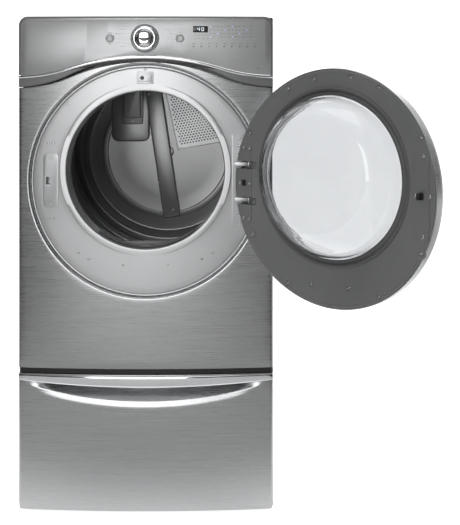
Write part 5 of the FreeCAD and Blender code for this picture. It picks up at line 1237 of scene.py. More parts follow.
def plateMarks(name, marks, lift, finish):   # small printed or lit bars on the overlay: (x, z, wide, tall)
    copies = []
    for index, (x, z, wide, tall) in enumerate(marks):
        y = bowY(x) - 1.6
        mark = slabFrom(f"{name}{index}", boxOutline((x - wide / 2, z - tall / 2),
                                                     (x + wide / 2, z + tall / 2)),
                        y - lift, y + 0.2)
        copies.append(mark)
    piece = joined(name, copies)
    return fit(piece, "cabinet", "console_face", finishes[finish])


def makeDisplay():
    sizes = consoleSizes
    low, high = sizes["windowLow"], sizes["windowHigh"]
    near = machine["apex"] - 1.9
    pane = slabFrom("displayWindow", boxOutline((low[0] + 0.3, low[1] + 0.3),
                                                (high[0] - 0.3, high[1] - 0.3), 1.4, 3),
                    near, machine["apex"] + 1.5)
    rimBevel(pane, near, 0.4, 2)
    crossCut(pane, everyStep(134, 164, 7.5))
    bowPiece(pane)
    fit(smooth(pane), "cabinet", "dark_window", finishes["window"], "display_window")
    strokes = {"a": (0, 5.4, 4.2, 1), "d": (0, -5.4, 4.2, 1), "g": (0, 0, 4.2, 1), "b": (2.6, 2.7, 1, 4.4),
               "c": (2.6, -2.7, 1, 4.4), "f": (-2.6, 2.7, 1, 4.4), "e": (-2.6, -2.7, 1, 4.4)}
    marks = []
    for x, lit in ((143.5, "bcfg"), (154.5, "abcdef")):
        marks += [(x + strokes[s][0], 1308.8 + strokes[s][1] * 0.8, strokes[s][2],
                   strokes[s][3] * 0.8) for s in lit]
    plateMarks("displayDigits", marks, 0.5, "digits")


makeDisplay()


def makeMarks():
    # cycle names are shown as short level bars, in two fans either side of the knob
    bars, faint, boxes, lamps = [], [], [], []
    for side in (-1, 1):
        for row in range(5):
            z = consoleSizes["knobZ"] + 24 - row * 11.5
            x = side * (48 + (4, 9, 11, 9, 4)[row])
            wide = (17, 21, 15, 19, 13)[row]
            bars.append((x + side * wide / 2, z, wide, 1.5))
            bars.append((x - side * 3.4, z, 1.6, 1.6))
        bars.append((side * consoleSizes["buttonX"], consoleSizes["knobZ"] + 15.5, 9, 1.4))
        bars.append((side * consoleSizes["buttonX"], consoleSizes["knobZ"] - 15.5, 14, 1.3))
    for column in range(6):
        x = 184 + column * 19.5
        for row in range(4):
            z = 1316 - row * 9.2
            faint.append((x, z, 11.5 - (column * 7 + row * 5) % 4, 1.5))
            if (column + row) % 3 == 0:
                lamps.append((x - 8.4, z, 1.4, 2.4))
            else:
                boxes.append((x - 8.4, z, 1.4, 2.4))
    for column in range(9):
        x = 130 + column * 20.5
        faint.append((x, 1270.5, 12 - (column * 5) % 4, 1.4))
        boxes.append((x, 1263, 3.2, 3.2))
    for column in range(4):
        faint.append((134 + column * 11, 1293.5 - 0.1 * column, 7, 1.3))
        faint.append((134 + column * 11, 1283.5, 7.6, 1.3))
    faint.append((300, 1204, 17, 1.5))
    plateMarks("cycleMarks", bars, 0.12, "marks")
    plateMarks("optionMarks", faint, 0.12, "faintMarks")
    plateMarks("optionDots", boxes, 0.14, "window")
    plateMarks("optionLamps", lamps, 0.16, "blue")


makeMarks()
print("console made")


# Drum: shell with rolled beads, lifting baffles, and the bulkheads, lamp, grille and filter seen through the mouth
drumSizes = {
    "inner": 316.8,
    "front": nodeSpan("drum_shell")[0].y, "rear": nodeSpan("drum_shell")[1].y,
    "lip": 300,
    "baffles": (115, 235, 355),
    "baffleTall": 52,
    "dishY": 318,
    "grille": 207,
    "hole": 2.75, "pitch": 9.5,
}


def makeDrum():
    sizes = drumSizes
    front, rear = sizes["front"], sizes["rear"]
    profile = [(sizes["lip"], front), (313, front), (316.6, front + 1), (318, front + 4)]
    for y in (-205, -60, 85, 205, 232, 259):     # rolled beads
        profile += [(318, y - 9), (316.8, y - 6), (313.2, y - 2), (312.6, y), (313.2, y + 2), (316.8, y + 6),
                    (318, y + 9)]
    profile += [(318, rear - 4), (316.6, rear - 1), (313, rear), (sizes["lip"], rear)]
    shell = turned("drumShell", 0, machine["mouthZ"], profile, 180, "open")
    pick(shell, lambda middle, normal: True)
    done(shell)
    outer = sum(1 for face in shell.data.polygons
                if face.normal.x * face.center.x + face.normal.z * (face.center.z - machine["mouthZ"] * mm) > 0)
    if outer < len(shell.data.polygons) / 2:
        only(shell)
        bpy.ops.object.mode_set(mode="EDIT")
        bpy.ops.mesh.select_all(action="SELECT")
        bpy.ops.mesh.flip_normals()
        done(shell)
    modify(shell, "SOLIDIFY", thickness=1.2 * mm, offset=-1)
    smooth(shell, 40)
    fit(shell, "drum", "drum_coat", finishes["drum"], "drum_shell")

    tall = sizes["baffleTall"]
    outline = []
    for across, up in ((-31, 0), (-29, 3), (-25, 9), (-20, 20), (-16, 33), (-12.5, 43), (-9, 48.5),
                       (-5, 51.2),
                       (0, tall), (5, 51.2), (9, 48.5), (12.5, 43), (16, 33), (20, 20), (25, 9), (29, 3),
                       (31, 0)):
        outline.append((across, sizes["inner"] - up))
    loops = []
    for y, share in ((front + 14, 0.02), (front + 15, 0.35), (front + 19, 0.62), (front + 27, 0.84),
                     (front + 40, 0.96), (front + 56, 1), (-150, 1), (0, 1), (150, 1), (rear - 56, 1),
                     (rear - 40, 0.96), (rear - 27, 0.84), (rear - 19, 0.62), (rear - 15, 0.35),
                     (rear - 14, 0.02)):
        loop = []
        for across, radius in outline:
            narrow = across * (0.72 + 0.28 * share)
            height = sizes["inner"] - (sizes["inner"] - radius) * share
            edge = math.sqrt(max(sizes["inner"] ** 2 - narrow ** 2, 0))
            loop.append((narrow, y, min(height, edge - 0.1)))
        loops.append(loop)
    first = smooth(throughLoops("drumBaffle", loops, "capped"), 50)
    copies = []
    for angle in sizes["baffles"]:
        turn = Matrix.Rotation(math.radians(90 - angle), 4, "Y")
        copies.append(twin(first, f"drumBaffle{angle}", (0, 0, machine["mouthZ"]), turn))
    bpy.data.objects.remove(first)
    fit(joined("drumBaffles", copies), "drum", "baffle_plastic", finishes["baffle"], "drum_baffles")


makeDrum()


def sectorOutline(shrink=0.0, steps=24):     # the air grille's shape, in (x, z)
    radius = drumSizes["grille"] - shrink
    points = [(32 + 0.75 * shrink, machine["mouthZ"] + 6 + 0.95 * shrink)]
    for index in range(steps + 1):
        turn = math.radians(10.35 + 0.42 * shrink / 4 + (82.61 - 0.84 * shrink / 4) * index / steps)
        points.append((radius * math.cos(turn), machine["mouthZ"] + radius * math.sin(turn)))
    return points


def inSector(x, z, margin):
    points = sectorOutline(0, 12)
    for (ax, az), (bx, bz) in zip(points, points[1:] + points[:1]):
        across, up = bx - ax, bz - az
        if (across * (z - az) - up * (x - ax)) / math.hypot(across, up) < margin:
            return False
    return True


def makeGrille():
    sizes = drumSizes
    pitch, hole = sizes["pitch"], sizes["hole"]
    plate = bmesh.new()
    side = pitch / math.sqrt(3)
    tilt = math.radians(10)
    for row in range(-4, 32):
        for column in range(-6, 30):
            u = (column + (row % 2) / 2) * pitch
            v = row * pitch * math.sqrt(3) / 2
            x = 20 + u * math.cos(tilt) - v * math.sin(tilt)
            z = machine["mouthZ"] + v * math.cos(tilt) + u * math.sin(tilt) - 20
            if not inSector(x, z, -7):
                continue
            rim = [(x + side * math.cos(tilt + math.radians(30 + 60 * k)), z + side * math.sin(
                tilt + math.radians(30 + 60 * k))) for k in range(6)]
            corners = [plate.verts.new((a * mm, 0, b * mm)) for a, b in rim]
            if not inSector(x, z, 9.5):
                plate.faces.new(corners)
                continue
            ringPoints = [plate.verts.new(((x + hole * math.cos(tilt + math.radians(30 + 30 * k))) * mm, 0,
                                           (z + hole * math.sin(tilt + math.radians(30 + 30 * k))) * mm))
                          for k in range(12)]
            for k in range(6):
                after = (k + 1) % 6
                plate.faces.new((corners[k], corners[after], ringPoints[2 * after], ringPoints[2 * k + 1],
                                 ringPoints[2 * k]))
    mesh = bpy.data.meshes.new("airGrille")
    plate.to_mesh(mesh)
    plate.free()
    piece = bpy.data.objects.new("airGrille", mesh)
    scene.collection.objects.link(piece)
    only(piece)
    bpy.ops.object.mode_set(mode="EDIT")
    bpy.ops.mesh.select_all(action="SELECT")
    bpy.ops.mesh.remove_doubles(threshold=1e-5)
    points = sectorOutline(2, 20)
    for (ax, az), (bx, bz) in zip(points, points[1:] + points[:1]):   # trims the plate to its sector
        bpy.ops.mesh.select_all(action="SELECT")
        square = Vector((bz - az, 0, ax - bx)).normalized()
        bpy.ops.mesh.bisect(plane_co=(ax * mm, 0, az * mm), plane_no=square, clear_outer=True)
    bpy.ops.mesh.select_all(action="SELECT")
    bpy.ops.mesh.extrude_region_move(TRANSFORM_OT_translate={"value": (0, 1.2 * mm, 0)})
    bpy.ops.mesh.select_all(action="SELECT")
    bpy.ops.mesh.normals_make_consistent(inside=False)
    done(piece)
    piece.data.transform(Matrix.Translation((0, (sizes["dishY"] - 1) * mm, 0)))
    border = slabFrom("grilleBorder", sectorOutline(0.5), sizes["dishY"] - 3.4, sizes["dishY"] + 1.2)
    rimBevel(border, sizes["dishY"] - 3.4, 1.5, 3)
    core = slabFrom("grilleCore", sectorOutline(7), 300, 330)
    carve(border, core)
    piece = smooth(joined("airGrille", [piece, border]), 30)
    fit(piece, "cabinet", "grille_steel", finishes["grille"], "air_grille")
    # a black plate behind the holes, painted as the shade of the unlit duct they open on
    shade = slabFrom("grilleShade", sectorOutline(3), sizes["dishY"] + 2.2, sizes["dishY"] + 3)
    fit(shade, "cabinet", "black_plastic", finishes["black"])


makeGrille()


def makeBulkhead():
    low, high = nodeSpan("rear_bulkhead")
    mouthZ = machine["mouthZ"]
    plate = slabFrom("rearBulkhead", boxOutline((low.x, low.z), (high.x, high.z), 6, 3), 300, 301.2)
    carve(plate, slabFrom("dishHole", disc(0, mouthZ, 284.5, 120), 280, 340),
          slabFrom("ductHole", disc(84, 480, 52.3, 48), 280, 340),
          block("heaterHole", (144.5, 280, 426), (307.5, 340, 572)))
    corners = [(0.01, 318), (150, 318), (196, 318, 3), (199, 315.6, 2), (214, 315.6, 2), (217, 318, 3),
               (258, 318, 8),
               (264, 312, 8), (281, 301, 6), (290, 300), (290, 301.2), (281.6, 302.4, 6), (265, 313.2, 8),
               (259, 319.2, 8), (217, 319.2, 3), (214, 316.8, 2), (199, 316.8, 2), (196, 319.2, 3),
               (0.01, 319.2)]
    dish = turned("bulkheadDish", 0, mouthZ, rounded(corners, 3), 144)
    boss = slabFrom("lampBoss", boxOutline((-185, mouthZ + 34), (-60, mouthZ + 239), 24, 8), 309.6, 318.6)
    rimBevel(boss, 309.6, 5, 4)
    rib = slabFrom("bulkheadRib", [(-78, mouthZ + 215), (-46, mouthZ + 1), (-14, mouthZ - 218),
                                   (14, mouthZ - 216),
                                   (42, mouthZ - 208), (10, mouthZ + 7), (-22, mouthZ + 222),
                                   (-50, mouthZ + 221)],
                   308, 318.6)
    rimBevel(rib, 308, 5, 4)
    carve(dish, slabFrom("opening", sectorOutline(0), 290, 330))
    carve(rib, slabFrom("openingTwo", sectorOutline(-0.5), 290, 330))
    hub = turned("drumHub", 0, mouthZ, rounded([(0.01, 316), (16, 316, 3), (21, 318.6, 2), (0.01, 318.6)],
                                               3), 48)
    piece = smooth(joined("rearBulkhead", [plate, dish, boss, rib, hub]), 32)
    fit(piece, "cabinet", "bulkhead_coat", finishes["bulkhead"], "rear_bulkhead")
    lampLow, lampHigh = nodeSpan("drum_lamp")
    lampCover = slabFrom("lampCover", boxOutline((lampLow.x, lampLow.z), (lampHigh.x, lampHigh.z), 8, 5),
                         lampLow.y + 6,
                      lampHigh.y)
    rimBevel(lampCover, lampLow.y + 6, 2.5, 3)
    lens = slabFrom("lampLens", boxOutline((lampLow.x + 7, lampLow.z + 20),
                                           (lampHigh.x - 7, lampHigh.z - 8), 9, 6),
                    lampLow.y, lampHigh.y - 2)
    rimBevel(lens, lampLow.y, 5, 5)
    fit(smooth(lampCover, 40), "cabinet", "lamp_lens", finishes["bulkhead"], "drum_lamp")
    fit(smooth(lens, 40), "cabinet", "lamp_lens", finishes["lens"])
    middle = (lampLow.x + lampHigh.x) / 2
    spots = [(middle, lampLow.y + 6, lampLow.z + 10), (0, 316, mouthZ), (-30, 308, mouthZ - 100),
             (-62, 308, mouthZ + 190), (18, 308, mouthZ - 190)]
    for angle in range(15, 375, 45):
        turn = math.radians(angle)
        spots.append((250 * math.cos(turn), 318, mouthZ + 250 * math.sin(turn)))
    for x, z in ((40, 942), (200, 972), (30, 1128), (146, 1068)):
        spots.append((x, 315, z))
    fit(screwsAt("bulkheadScrews", spots, 0.8), "cabinet", "machined_steel", finishes["steel"])


makeBulkhead()


def makeFrontBulkhead():
    piece = frame["nodes"]["front_bulkhead"]
    paint(piece, finishes["galvanised"])
    # the neck's rear rim, rolled round the mouth
    profile = rounded([(212.2, -299), (217, -296.4, 1), (224, -295.8, 2), (240, -295.8), (240, -295),
                       (214, -295, 2),
                       (211.4, -297, 1)], 3)
    rim = smooth(turned("mouthRim", 0, machine["mouthZ"], profile, 144), 40)
    fit(rim, "cabinet", "bulkhead_coat", finishes["bulkhead"])


makeFrontBulkhead()


filterSizes = {"radius": 211, "front": -344, "rear": -304, "half": 37.2}


def makeFilter():
    sizes = filterSizes
    mouthZ = machine["mouthZ"]
    section = rounded([(sizes["radius"], sizes["front"], 1), (sizes["radius"] - 3, sizes["front"], 1.2),
                       (sizes["radius"] - 3.4, -326, 0), (sizes["radius"] - 3, sizes["rear"], 1.2),
                       (sizes["radius"], sizes["rear"], 1)], 3)
    loops = []
    for angle in everyStep(-90 - sizes["half"], -90 + sizes["half"], 1.55):
        turn = math.radians(angle)
        loops.append([(radius * math.cos(turn), y, mouthZ + radius * math.sin(turn)) for radius,
                      y in section])
    cap = throughLoops("lintFilter", loops, "capped")
    tools = []
    for index in range(-8, 9):               # finger slots along the cap
        if abs(index) < 2:
            continue
        turn = math.radians(index * 4.1)
        tool = block(f"capSlot{index}", (-5, -327.5, mouthZ - 220), (5, -321.5, mouthZ - 200), 1)
        tool.data.transform(Matrix.Translation((0, 0, mouthZ * mm)) @ Matrix.Rotation(-turn, 4, "Y")
                            @ Matrix.Translation((0, 0, -mouthZ * mm)))
        tools.append(tool)
    cutter = joined("capSlots", tools)
    carve(cap, cutter)
    grip = slabFrom("filterGrip", [(-17, mouthZ - 212), (-12, mouthZ - 203.5), (12, mouthZ - 203.5),
                                   (17, mouthZ - 212)],
                    -341, -336)
    soften(grip, 0.9, 3)
    low = nodeSpan("lint_filter")[0]
    body = block("filterBody", (-118, -334, low.z), (118, -314, 722), 2, 3)
    windows = [block(f"filterWindow{i}", (-104 + i * 54, -340, low.z + 14), (-58 + i * 54, -308, 700))
               for i in range(4)]
    carve(body, joined("filterWindows", windows))
    web = block("filterWeb", (-106, -325, low.z + 10), (106, -323.6, 704))
    neck = block("filterNeck", (-96, -330, 712), (96, -318, 735), 1)
    piece = smooth(joined("lintFilter", [cap, grip, body, web, neck]), 40)
    return fit(piece, "filter", "filter_frame", finishes["filter"], "lint_filter")


makeFilter()
print("drum and filter made")


# Door: modelled closed, each piece then turned to where the door stands open
doorSizes = {
    "rim": 302, "front": -40, "rear": -5, "wall": 2.5,
    "liner": 298.5, "linerDepth": -3,
    "window": 232, "bore": 210.5, "seal": 227,
    "slotZ": (855, 949.2), "slotHalf": 10,
    "spokes": 192,
}
doorTurns = [2 * math.pi * index / doorSizes["spokes"] for index in range(doorSizes["spokes"])]


def doorLoop(radius, depth, share=0.0):  # share 0 is round the door's centre, 1 round the mouth's
    z = machine["doorZ"] + (machine["mouthZ"] - machine["doorZ"]) * share
    return [(radius * math.cos(turn), bowY(radius * math.cos(turn), depth), z + radius * math.sin(turn))
            for turn in doorTurns]


def flatLoop(radius, y, rise=0.0):       # round the mouth's centre, not bowed
    return [(radius * math.cos(turn), y, machine["mouthZ"] + rise + radius * math.sin(turn)) for turn in doorTurns]


def armSlots(name):
    sizes = doorSizes
    tools = []
    for index, z in enumerate(sizes["slotZ"]):
        tools.append(block(f"{name}Slot{index}", (236, machine["hingeY"] + 5, z - sizes["slotHalf"]),
                           (322, machine["edge"] + 40, z + sizes["slotHalf"])))
    return tools


def makeDoorFrame():
    sizes = doorSizes
    rim, front, rear, wall = sizes["rim"], sizes["front"], sizes["rear"], sizes["wall"]
    window = sizes["window"]
    loops = [doorLoop(rim - wall, rear + 0.3), doorLoop(rim - wall + 0.4, rear), doorLoop(rim - 0.5, rear),
             doorLoop(rim, rear - 0.5), doorLoop(rim, -14), doorLoop(rim, -24), doorLoop(rim, front + 8),
             doorLoop(rim - 0.6, front + 4.8), doorLoop(rim - 2.3, front + 2.3),
             doorLoop(rim - 4.8, front + 0.7),
             doorLoop(rim - 8, front + 0.1), doorLoop(rim - 14, front), doorLoop(rim - 26, front),
             doorLoop(rim - 28, front + 0.3), doorLoop(rim - 28.6, front + 1.4),
             doorLoop(rim - 29.6, front + 1.4),
             doorLoop(rim - 30.2, front + 0.3), doorLoop(rim - 32, front),
             doorLoop(rim - 45, front, 0.45), doorLoop(window + 12, front, 0.85),
             doorLoop(window + 3, front, 1),
             doorLoop(window + 1, front + 0.2, 1), doorLoop(window + 0.3, front + 1, 1),
             doorLoop(window + 0.3, front + 4.4, 1), doorLoop(window - 4, front + 4.5, 1),
             doorLoop(window - 4, -30, 1), doorLoop(window - 4, -18, 1), doorLoop(window - 4, -5.5, 1),
             doorLoop(window - 1, -5.5, 1), doorLoop(window - 1, -20, 1), doorLoop(window - 1, front + 6, 1),
             doorLoop(window + 8, front + wall, 0.9), doorLoop(rim - 36, front + wall, 0.4),
             doorLoop(rim - 12, front + wall), doorLoop(rim - 5, front + 3.8),
             doorLoop(rim - wall, front + 8),
             doorLoop(rim - wall, -20)]
    loops.append(loops[0])
    piece = throughLoops("doorFrame", loops)
    carve(piece, *armSlots("frame"))
    smooth(piece, 32)
    openDoor(piece)
    fit(piece, "door", "door_rim", finishes["rim"], "door_frame")

    window = window - 0.3
    faces = [doorLoop(radius, depth, 1) for radius, depth in
             ((0.01, front + 0.8), (40, front + 0.8), (80, front + 0.8), (120, front + 0.8),
              (160, front + 0.8),
              (195, front + 0.8), (220, front + 0.8), (window - 0.8, front + 0.8), (window, front + 1.4),
              (window, front + 4.1), (window - 0.5, front + 4.5), (215, front + 4.5), (180, front + 4.5),
              (140, front + 4.5), (90, front + 4.5), (45, front + 4.5), (0.01, front + 4.5))]
    pane = throughLoops("doorWindow", faces, "capped")
    openDoor(smooth(pane, 40))
    fit(pane, "door", "door_glass", finishes["glass"], "door_window")


makeDoorFrame()

# screws by (x, height over the door's centre, how proud their seat is)
doorScrews = (
    (138, 250, 0), (58, 276, 0), (-51, 278, 0), (-135, 254, 0), (-257, 137, 0), (-257, -137, 0),
    (-135, -254, 0),
    (-46, -243, 0), (67, -245, 0), (138, -250, 0), (250, -135, 0), (257, 132, 0),
    (274, 92, 1.8), (256, 92, 1.8), (286, 0, 1.8), (256, 0, 1.8), (274, -92, 1.8), (257, -92, 1.8),
    (-266, 94, 1.8), (-264, -96, 1.8), (-242, 0, 1.8), (-284, 0, 1.8),
)


bigSeats = {(-257, -137), (-135, -254), (138, -250), (250, -135)}   # (x, height) of those with a wide rim


def seatTurn(x):                         # square to the bowed surface at x
    return Matrix.Rotation(-math.asin(x / bowRadius), 4, "Z")


def makeLiner():
    sizes = doorSizes
    liner, depth, bore = sizes["liner"], sizes["linerDepth"], sizes["bore"]
    loops = [doorLoop(liner - 2.5, -25), doorLoop(liner, -25), doorLoop(liner, -12),
             doorLoop(liner, depth - 1.6),
             doorLoop(liner - 0.5, depth - 0.5), doorLoop(liner - 1.6, depth), doorLoop(liner - 6, depth),
             doorLoop(liner - 6.6, depth - 0.4), doorLoop(liner - 7.2, depth - 1),
             doorLoop(liner - 8.2, depth - 1),
             doorLoop(liner - 8.8, depth - 0.4), doorLoop(liner - 9.4, depth),
             doorLoop(liner - 24, depth, 0.25),
             doorLoop(liner - 42, depth, 0.6), doorLoop(sizes["seal"] + 12, depth, 0.9),
             doorLoop(sizes["seal"] + 4, depth, 1), doorLoop(bore + 14, depth, 1),
             doorLoop(bore + 1, depth, 1),
             doorLoop(bore, depth - 0.6, 1), doorLoop(bore, depth - 2.5, 1),
             doorLoop(bore + 20, depth - 2.5, 0.9),
             doorLoop(liner - 45, depth - 2.5, 0.5), doorLoop(liner - 12, depth - 2.8, 0.1),
             doorLoop(liner - 3.5, depth - 3), doorLoop(liner - 2.5, depth - 5)]
    loops.append(loops[0])
    piece = throughLoops("doorLiner", loops)
    holes = []
    for index, (x, up, proud) in enumerate(doorScrews):
        if proud:
            continue
        y = bowY(x, depth)
        hole = turned(f"seatHole{index}", 0, 0, [(8.1, -7), (8.1, 7)], 28, "capped")
        holes.append(twin(hole, "hole", (x, y, machine["doorZ"] + up), seatTurn(x)))
        bpy.data.objects.remove(hole)
    carve(piece, joined("seatHoles", holes), *armSlots("liner"))
    smooth(piece, 30)
    openDoor(piece)
    fit(piece, "door", "liner_grey", finishes["liner"], "door_liner")

    cup = turned("screwCup", 0, 0, [(9.4, 0.35), (8.6, 0.5), (8.0, 0.2), (7.3, -0.8), (6.6, -1.9),
                                    (5.8, -2.4),
                                    (0.01, -2.5), (0.01, -3.3), (6.2, -3.2), (7.4, -2.6), (8.1, -1.4),
                                    (8.9, -0.2)],
                 32, "joined")
    washer = turned("coverSeat", 0, 0, [(7.2, -0.5), (7.0, 0.3), (6.2, 0.55), (0.01, 0.55), (0.01, -0.5)],
                    28, "joined")
    seatRim = turned("seatRim", 0, 0, [(9.2, -0.3), (9.2, 0.5), (10.6, 1.0), (12.6, 1.0), (13.8, 0.4),
                                       (14.2, -0.3)],
                     36, "joined")
    cups, washers, heads, rims = [], [], [], []
    half = Matrix.Rotation(math.pi, 4, "Z")
    for index, (x, up, proud) in enumerate(doorScrews):
        place = (x, bowY(x, depth + proud), machine["doorZ"] + up)
        if (x, up) in bigSeats:
            rims.append(twin(seatRim, f"seatRim{index}", place, seatTurn(x)))
        if proud:
            washers.append(twin(washer, f"coverSeat{index}", place, seatTurn(x)))
            headY = place[1] + 0.5
        else:
            cups.append(twin(cup, f"screwCup{index}", place, seatTurn(x)))
            headY = place[1] - 2.5
        spin = Matrix.Rotation(index * 0.9, 4, "Y")
        heads.append(twin(screwModel, f"doorScrew{index}", (x, headY, place[2]), seatTurn(x) @ half @ spin))
    for name, group, slotName, finish, nodes in (
            ("doorScrewCups", cups + rims, "liner_grey", "liner", ()),
            ("coverSeats", washers, "cover_grey", "cover", ()),
            ("doorScrews", heads, "machined_steel", "steel", ("door_screws",))):
        whole = smooth(joined(name, group), 40)
        openDoor(whole)
        fit(whole, "door", slotName, finishes[finish], *nodes)
    bpy.data.objects.remove(cup)
    bpy.data.objects.remove(washer)
    bpy.data.objects.remove(seatRim)


makeLiner()


def makeSeal():
    sizes = doorSizes
    outer, inner, crest = sizes["seal"], sizes["bore"] + 0.2, machine["collarY"] - 0.5

    def lobe(radius, share):             # share 0 on the liner, 1 at the crest
        loop = []
        for x, y, z in doorLoop(radius, sizes["linerDepth"], 1):
            loop.append((x, y + (crest - y) * share, z))
        return loop

    loops = [lobe(outer, 0), lobe(outer, 0.45), lobe(outer - 0.5, 0.72), lobe(outer - 1.8, 0.9),
             lobe(outer - 4, 0.98),
             lobe(outer - 6, 1), lobe(outer - 8, 0.97), lobe(outer - 9.4, 0.86), lobe(outer - 10.2, 0.66),
             lobe(outer - 11, 0.5), lobe(outer - 12.2, 0.46), lobe(outer - 13.2, 0.52),
             lobe(outer - 14, 0.66),
             lobe(outer - 15.2, 0.78), lobe(outer - 17, 0.84), lobe(outer - 20, 0.82), lobe(outer - 22, 0.74),
             lobe(inner + 1.2, 0.6), lobe(inner + 0.3, 0.4), lobe(inner, 0.1), lobe(inner, 0)]
    loops.append(loops[0])
    piece = smooth(throughLoops("doorSeal", loops), 50)
    openDoor(piece)
    return fit(piece, "door", "seal_rubber", finishes["seal"], "door_seal")


makeSeal()


def makeBowl():
    collarY = machine["collarY"]
    outside = [(212, -14), (206, -14), (204, -13.4), (203.1, -11.5), (202.7, -5), (202.1, 2), (201, 10),
               (198.6, 21),
               (194.4, 33), (188.2, 45), (181, 56), (173.4, 65.6), (166, 73), (158.6, 78.2), (150, 81.2),
               (140, 82),
               (110, 82), (70, 82), (30, 82), (0.01, 82)]
    inside = [(0.01, 78), (30, 78), (70, 78), (110, 78), (138, 78), (147, 77.3), (154.8, 74.6), (161.8, 69.8),
              (168.9, 63), (176.4, 53.4), (183.6, 42.6), (189.8, 31), (194, 19.6), (196.5, 9), (197.8, 1),
              (198.6, -6),
              (199, -17), (200, -17.4), (211, -17.5), (212, -17)]
    loops = []
    for radius, y in outside + inside:
        loops.append(flatLoop(radius, collarY + y, 12 * smoothStep(0, 84, y)))
    loops.append(loops[0])
    piece = smooth(throughLoops("doorBowl", loops), 60)
    openDoor(piece)
    return fit(piece, "door", "door_bowl_glass", finishes["bowl"], "door_bowl")


makeBowl()


def coverOutline(lowX, highX):           # a tall plate whose outer side follows the liner's edge
    low, high = machine["doorZ"] - 108, machine["doorZ"] + 108
    points = []
    corner = 13
    for x, z, start in ((highX - corner, low + corner, -90), (highX - corner, high - corner, 0),
                        (lowX + corner, high - corner, 90), (lowX + corner, low + corner, 180)):
        for step in range(7):
            turn = math.radians(start + 90 * step / 6)
            points.append((x + corner * math.cos(turn), z + corner * math.sin(turn)))
        if start == -90:
            points += [(highX, level) for level in everyStep(low + corner, high - corner, 12)[1:-1]]
        if start == 90:
            points += [(lowX, level) for level in everyStep(high - corner, low + corner, 12)[1:-1]]
    limit = 295.5
    kept = []
    for x, z in points:
        reach = math.hypot(x, z - machine["doorZ"])
        if reach > limit:
            x, z = x * limit / reach, machine["doorZ"] + (z - machine["doorZ"]) * limit / reach
        kept.append((x, z))
    return kept


def makeCovers():
    depth = doorSizes["linerDepth"]
    far = machine["apex"] + depth + 1.8
    covers = []
    for index, (lowX, highX) in enumerate(((-296.5, -232.4), (249, 296.5))):
        cover = slabFrom(f"doorCover{index}", coverOutline(lowX, highX), machine["apex"] + depth - 0.4, far)
        rimBevel(cover, far, 1.1, 3)
        crossCut(cover, everyStep(lowX + 3, highX - 3, 9))
        bowPiece(cover)
        if index:
            port = block("portHole", (265, -390, 894), (278, -300, 910), 0.8)
            carve(cover, port, *armSlots("cover"))
        covers.append(cover)
    piece = smooth(joined("doorCovers", covers), 32)
    openDoor(piece)
    fit(piece, "door", "cover_grey", finishes["cover"], "door_covers")
    # the port's dark floor and raised lip
    y = bowY(271.5, depth + 1.8)
    lip = slabFrom("portLip", boxOutline((263.4, 892.4), (279.6, 911.6), 1.8, 4), y - 0.4, y + 0.8)
    rimBevel(lip, y + 0.8, 0.5, 2)
    carve(lip, slabFrom("portCore", boxOutline((265, 894), (278, 910), 1, 3), y - 6, y + 6))
    openDoor(lip)
    fit(smooth(lip), "door", "cover_grey", finishes["cover"])
    floor = slabFrom("portFloor", boxOutline((265, 894), (278, 910), 1, 3), y - 2.1, y - 1.2)
    openDoor(floor)
    fit(floor, "door", "black_plastic", finishes["black"])


makeCovers()


def makeStrike():
    depth = doorSizes["linerDepth"]
    z, x = machine["doorZ"], -262
    base, tip = bowY(262, depth + 1), bowY(262, 21)
    seat = bowY(255, depth + 1.8)
    surround = slabFrom("doorStrike", boxOutline((x - 10, z - 13), (x + 10, z + 13), 2.5, 4), seat - 1.5,
                        seat + 2.6)
    rimBevel(surround, seat + 2.6, 1.2, 3)
    well = slabFrom("strikeWell", boxOutline((x - 7, z - 10), (x + 7, z + 10), 1.5, 3), seat + 1.0, seat + 9)
    carve(surround, well)
    stem = block("strikeStem", (x - 4, base, z - 8), (x + 4, tip, z + 8), 1.4, 3)
    notch = block("strikeNotch", (x - 6, tip - 9, z - 5), (x + 6, tip - 4, z + 5), 1)
    carve(stem, notch)
    openDoor(surround)
    fit(smooth(surround), "door", "cover_grey", finishes["cover"])
    openDoor(stem)
    fit(smooth(stem), "door", "black_plastic", finishes["black"], "door_strike")


makeStrike()


def makeHingePin():
    x, y, z = machine["hingeX"], machine["hingeY"], machine["doorZ"]
    rod = turned("hingePin", 0, 0, [(0.01, -64), (2.6, -64), (3.5, -63), (3.5, 63), (2.6, 64), (0.01, 64)],
                 28,
                 "capped")
    rod.data.transform(Matrix.Translation(Vector((x, y, z)) * mm) @ Matrix.Rotation(math.radians(90), 4, "X"))
    parts = [rod]
    for index, (low, high) in enumerate(((-62, -54), (-40, -34), (34, 40), (54, 62))):
        parts.append(block(f"pinLug{index}", (x - 7, y - 6, z + low), (x + 11, y + 5, z + high), 1.2, 3))
    parts.append(block("pinSpine", (x + 8, y - 6, z - 62), (x + 11, y - 1, z + 62), 0.8))
    piece = smooth(joined("hingePin", parts))
    openDoor(piece)
    return fit(piece, "door", "machined_steel", finishes["steel"], "hinge_pin")


makeHingePin()
print("door made")


# Drawer front with its finger scoop, and the handle strip over it
drawerSizes = {
    "low": nodeSpan("drawer_front")[0].z, "high": nodeSpan("drawer_front")[1].z,
    "rear": nodeSpan("drawer_front")[1].y,
    "corner": 8, "edge": 2.5,
    "lip": 353, "half": 316, "sag": 42, "scoopDeep": 29,
    "lipTall": 20,           # soft roll of the scoop's lower lip
    "lipShare": 0.16,        # and how much of the scoop's depth it takes
}
scoopStart = smoothStep(-0.35, 0.55, 0)


def scoopEdge(x):                        # height of the scoop's lower lip
    sizes = drawerSizes
    if abs(x) >= sizes["half"]:
        return sizes["lip"]
    bend = (sizes["half"] ** 2 + sizes["sag"] ** 2) / (2 * sizes["sag"])
    return sizes["lip"] - sizes["sag"] + bend - math.sqrt(bend ** 2 - x * x)


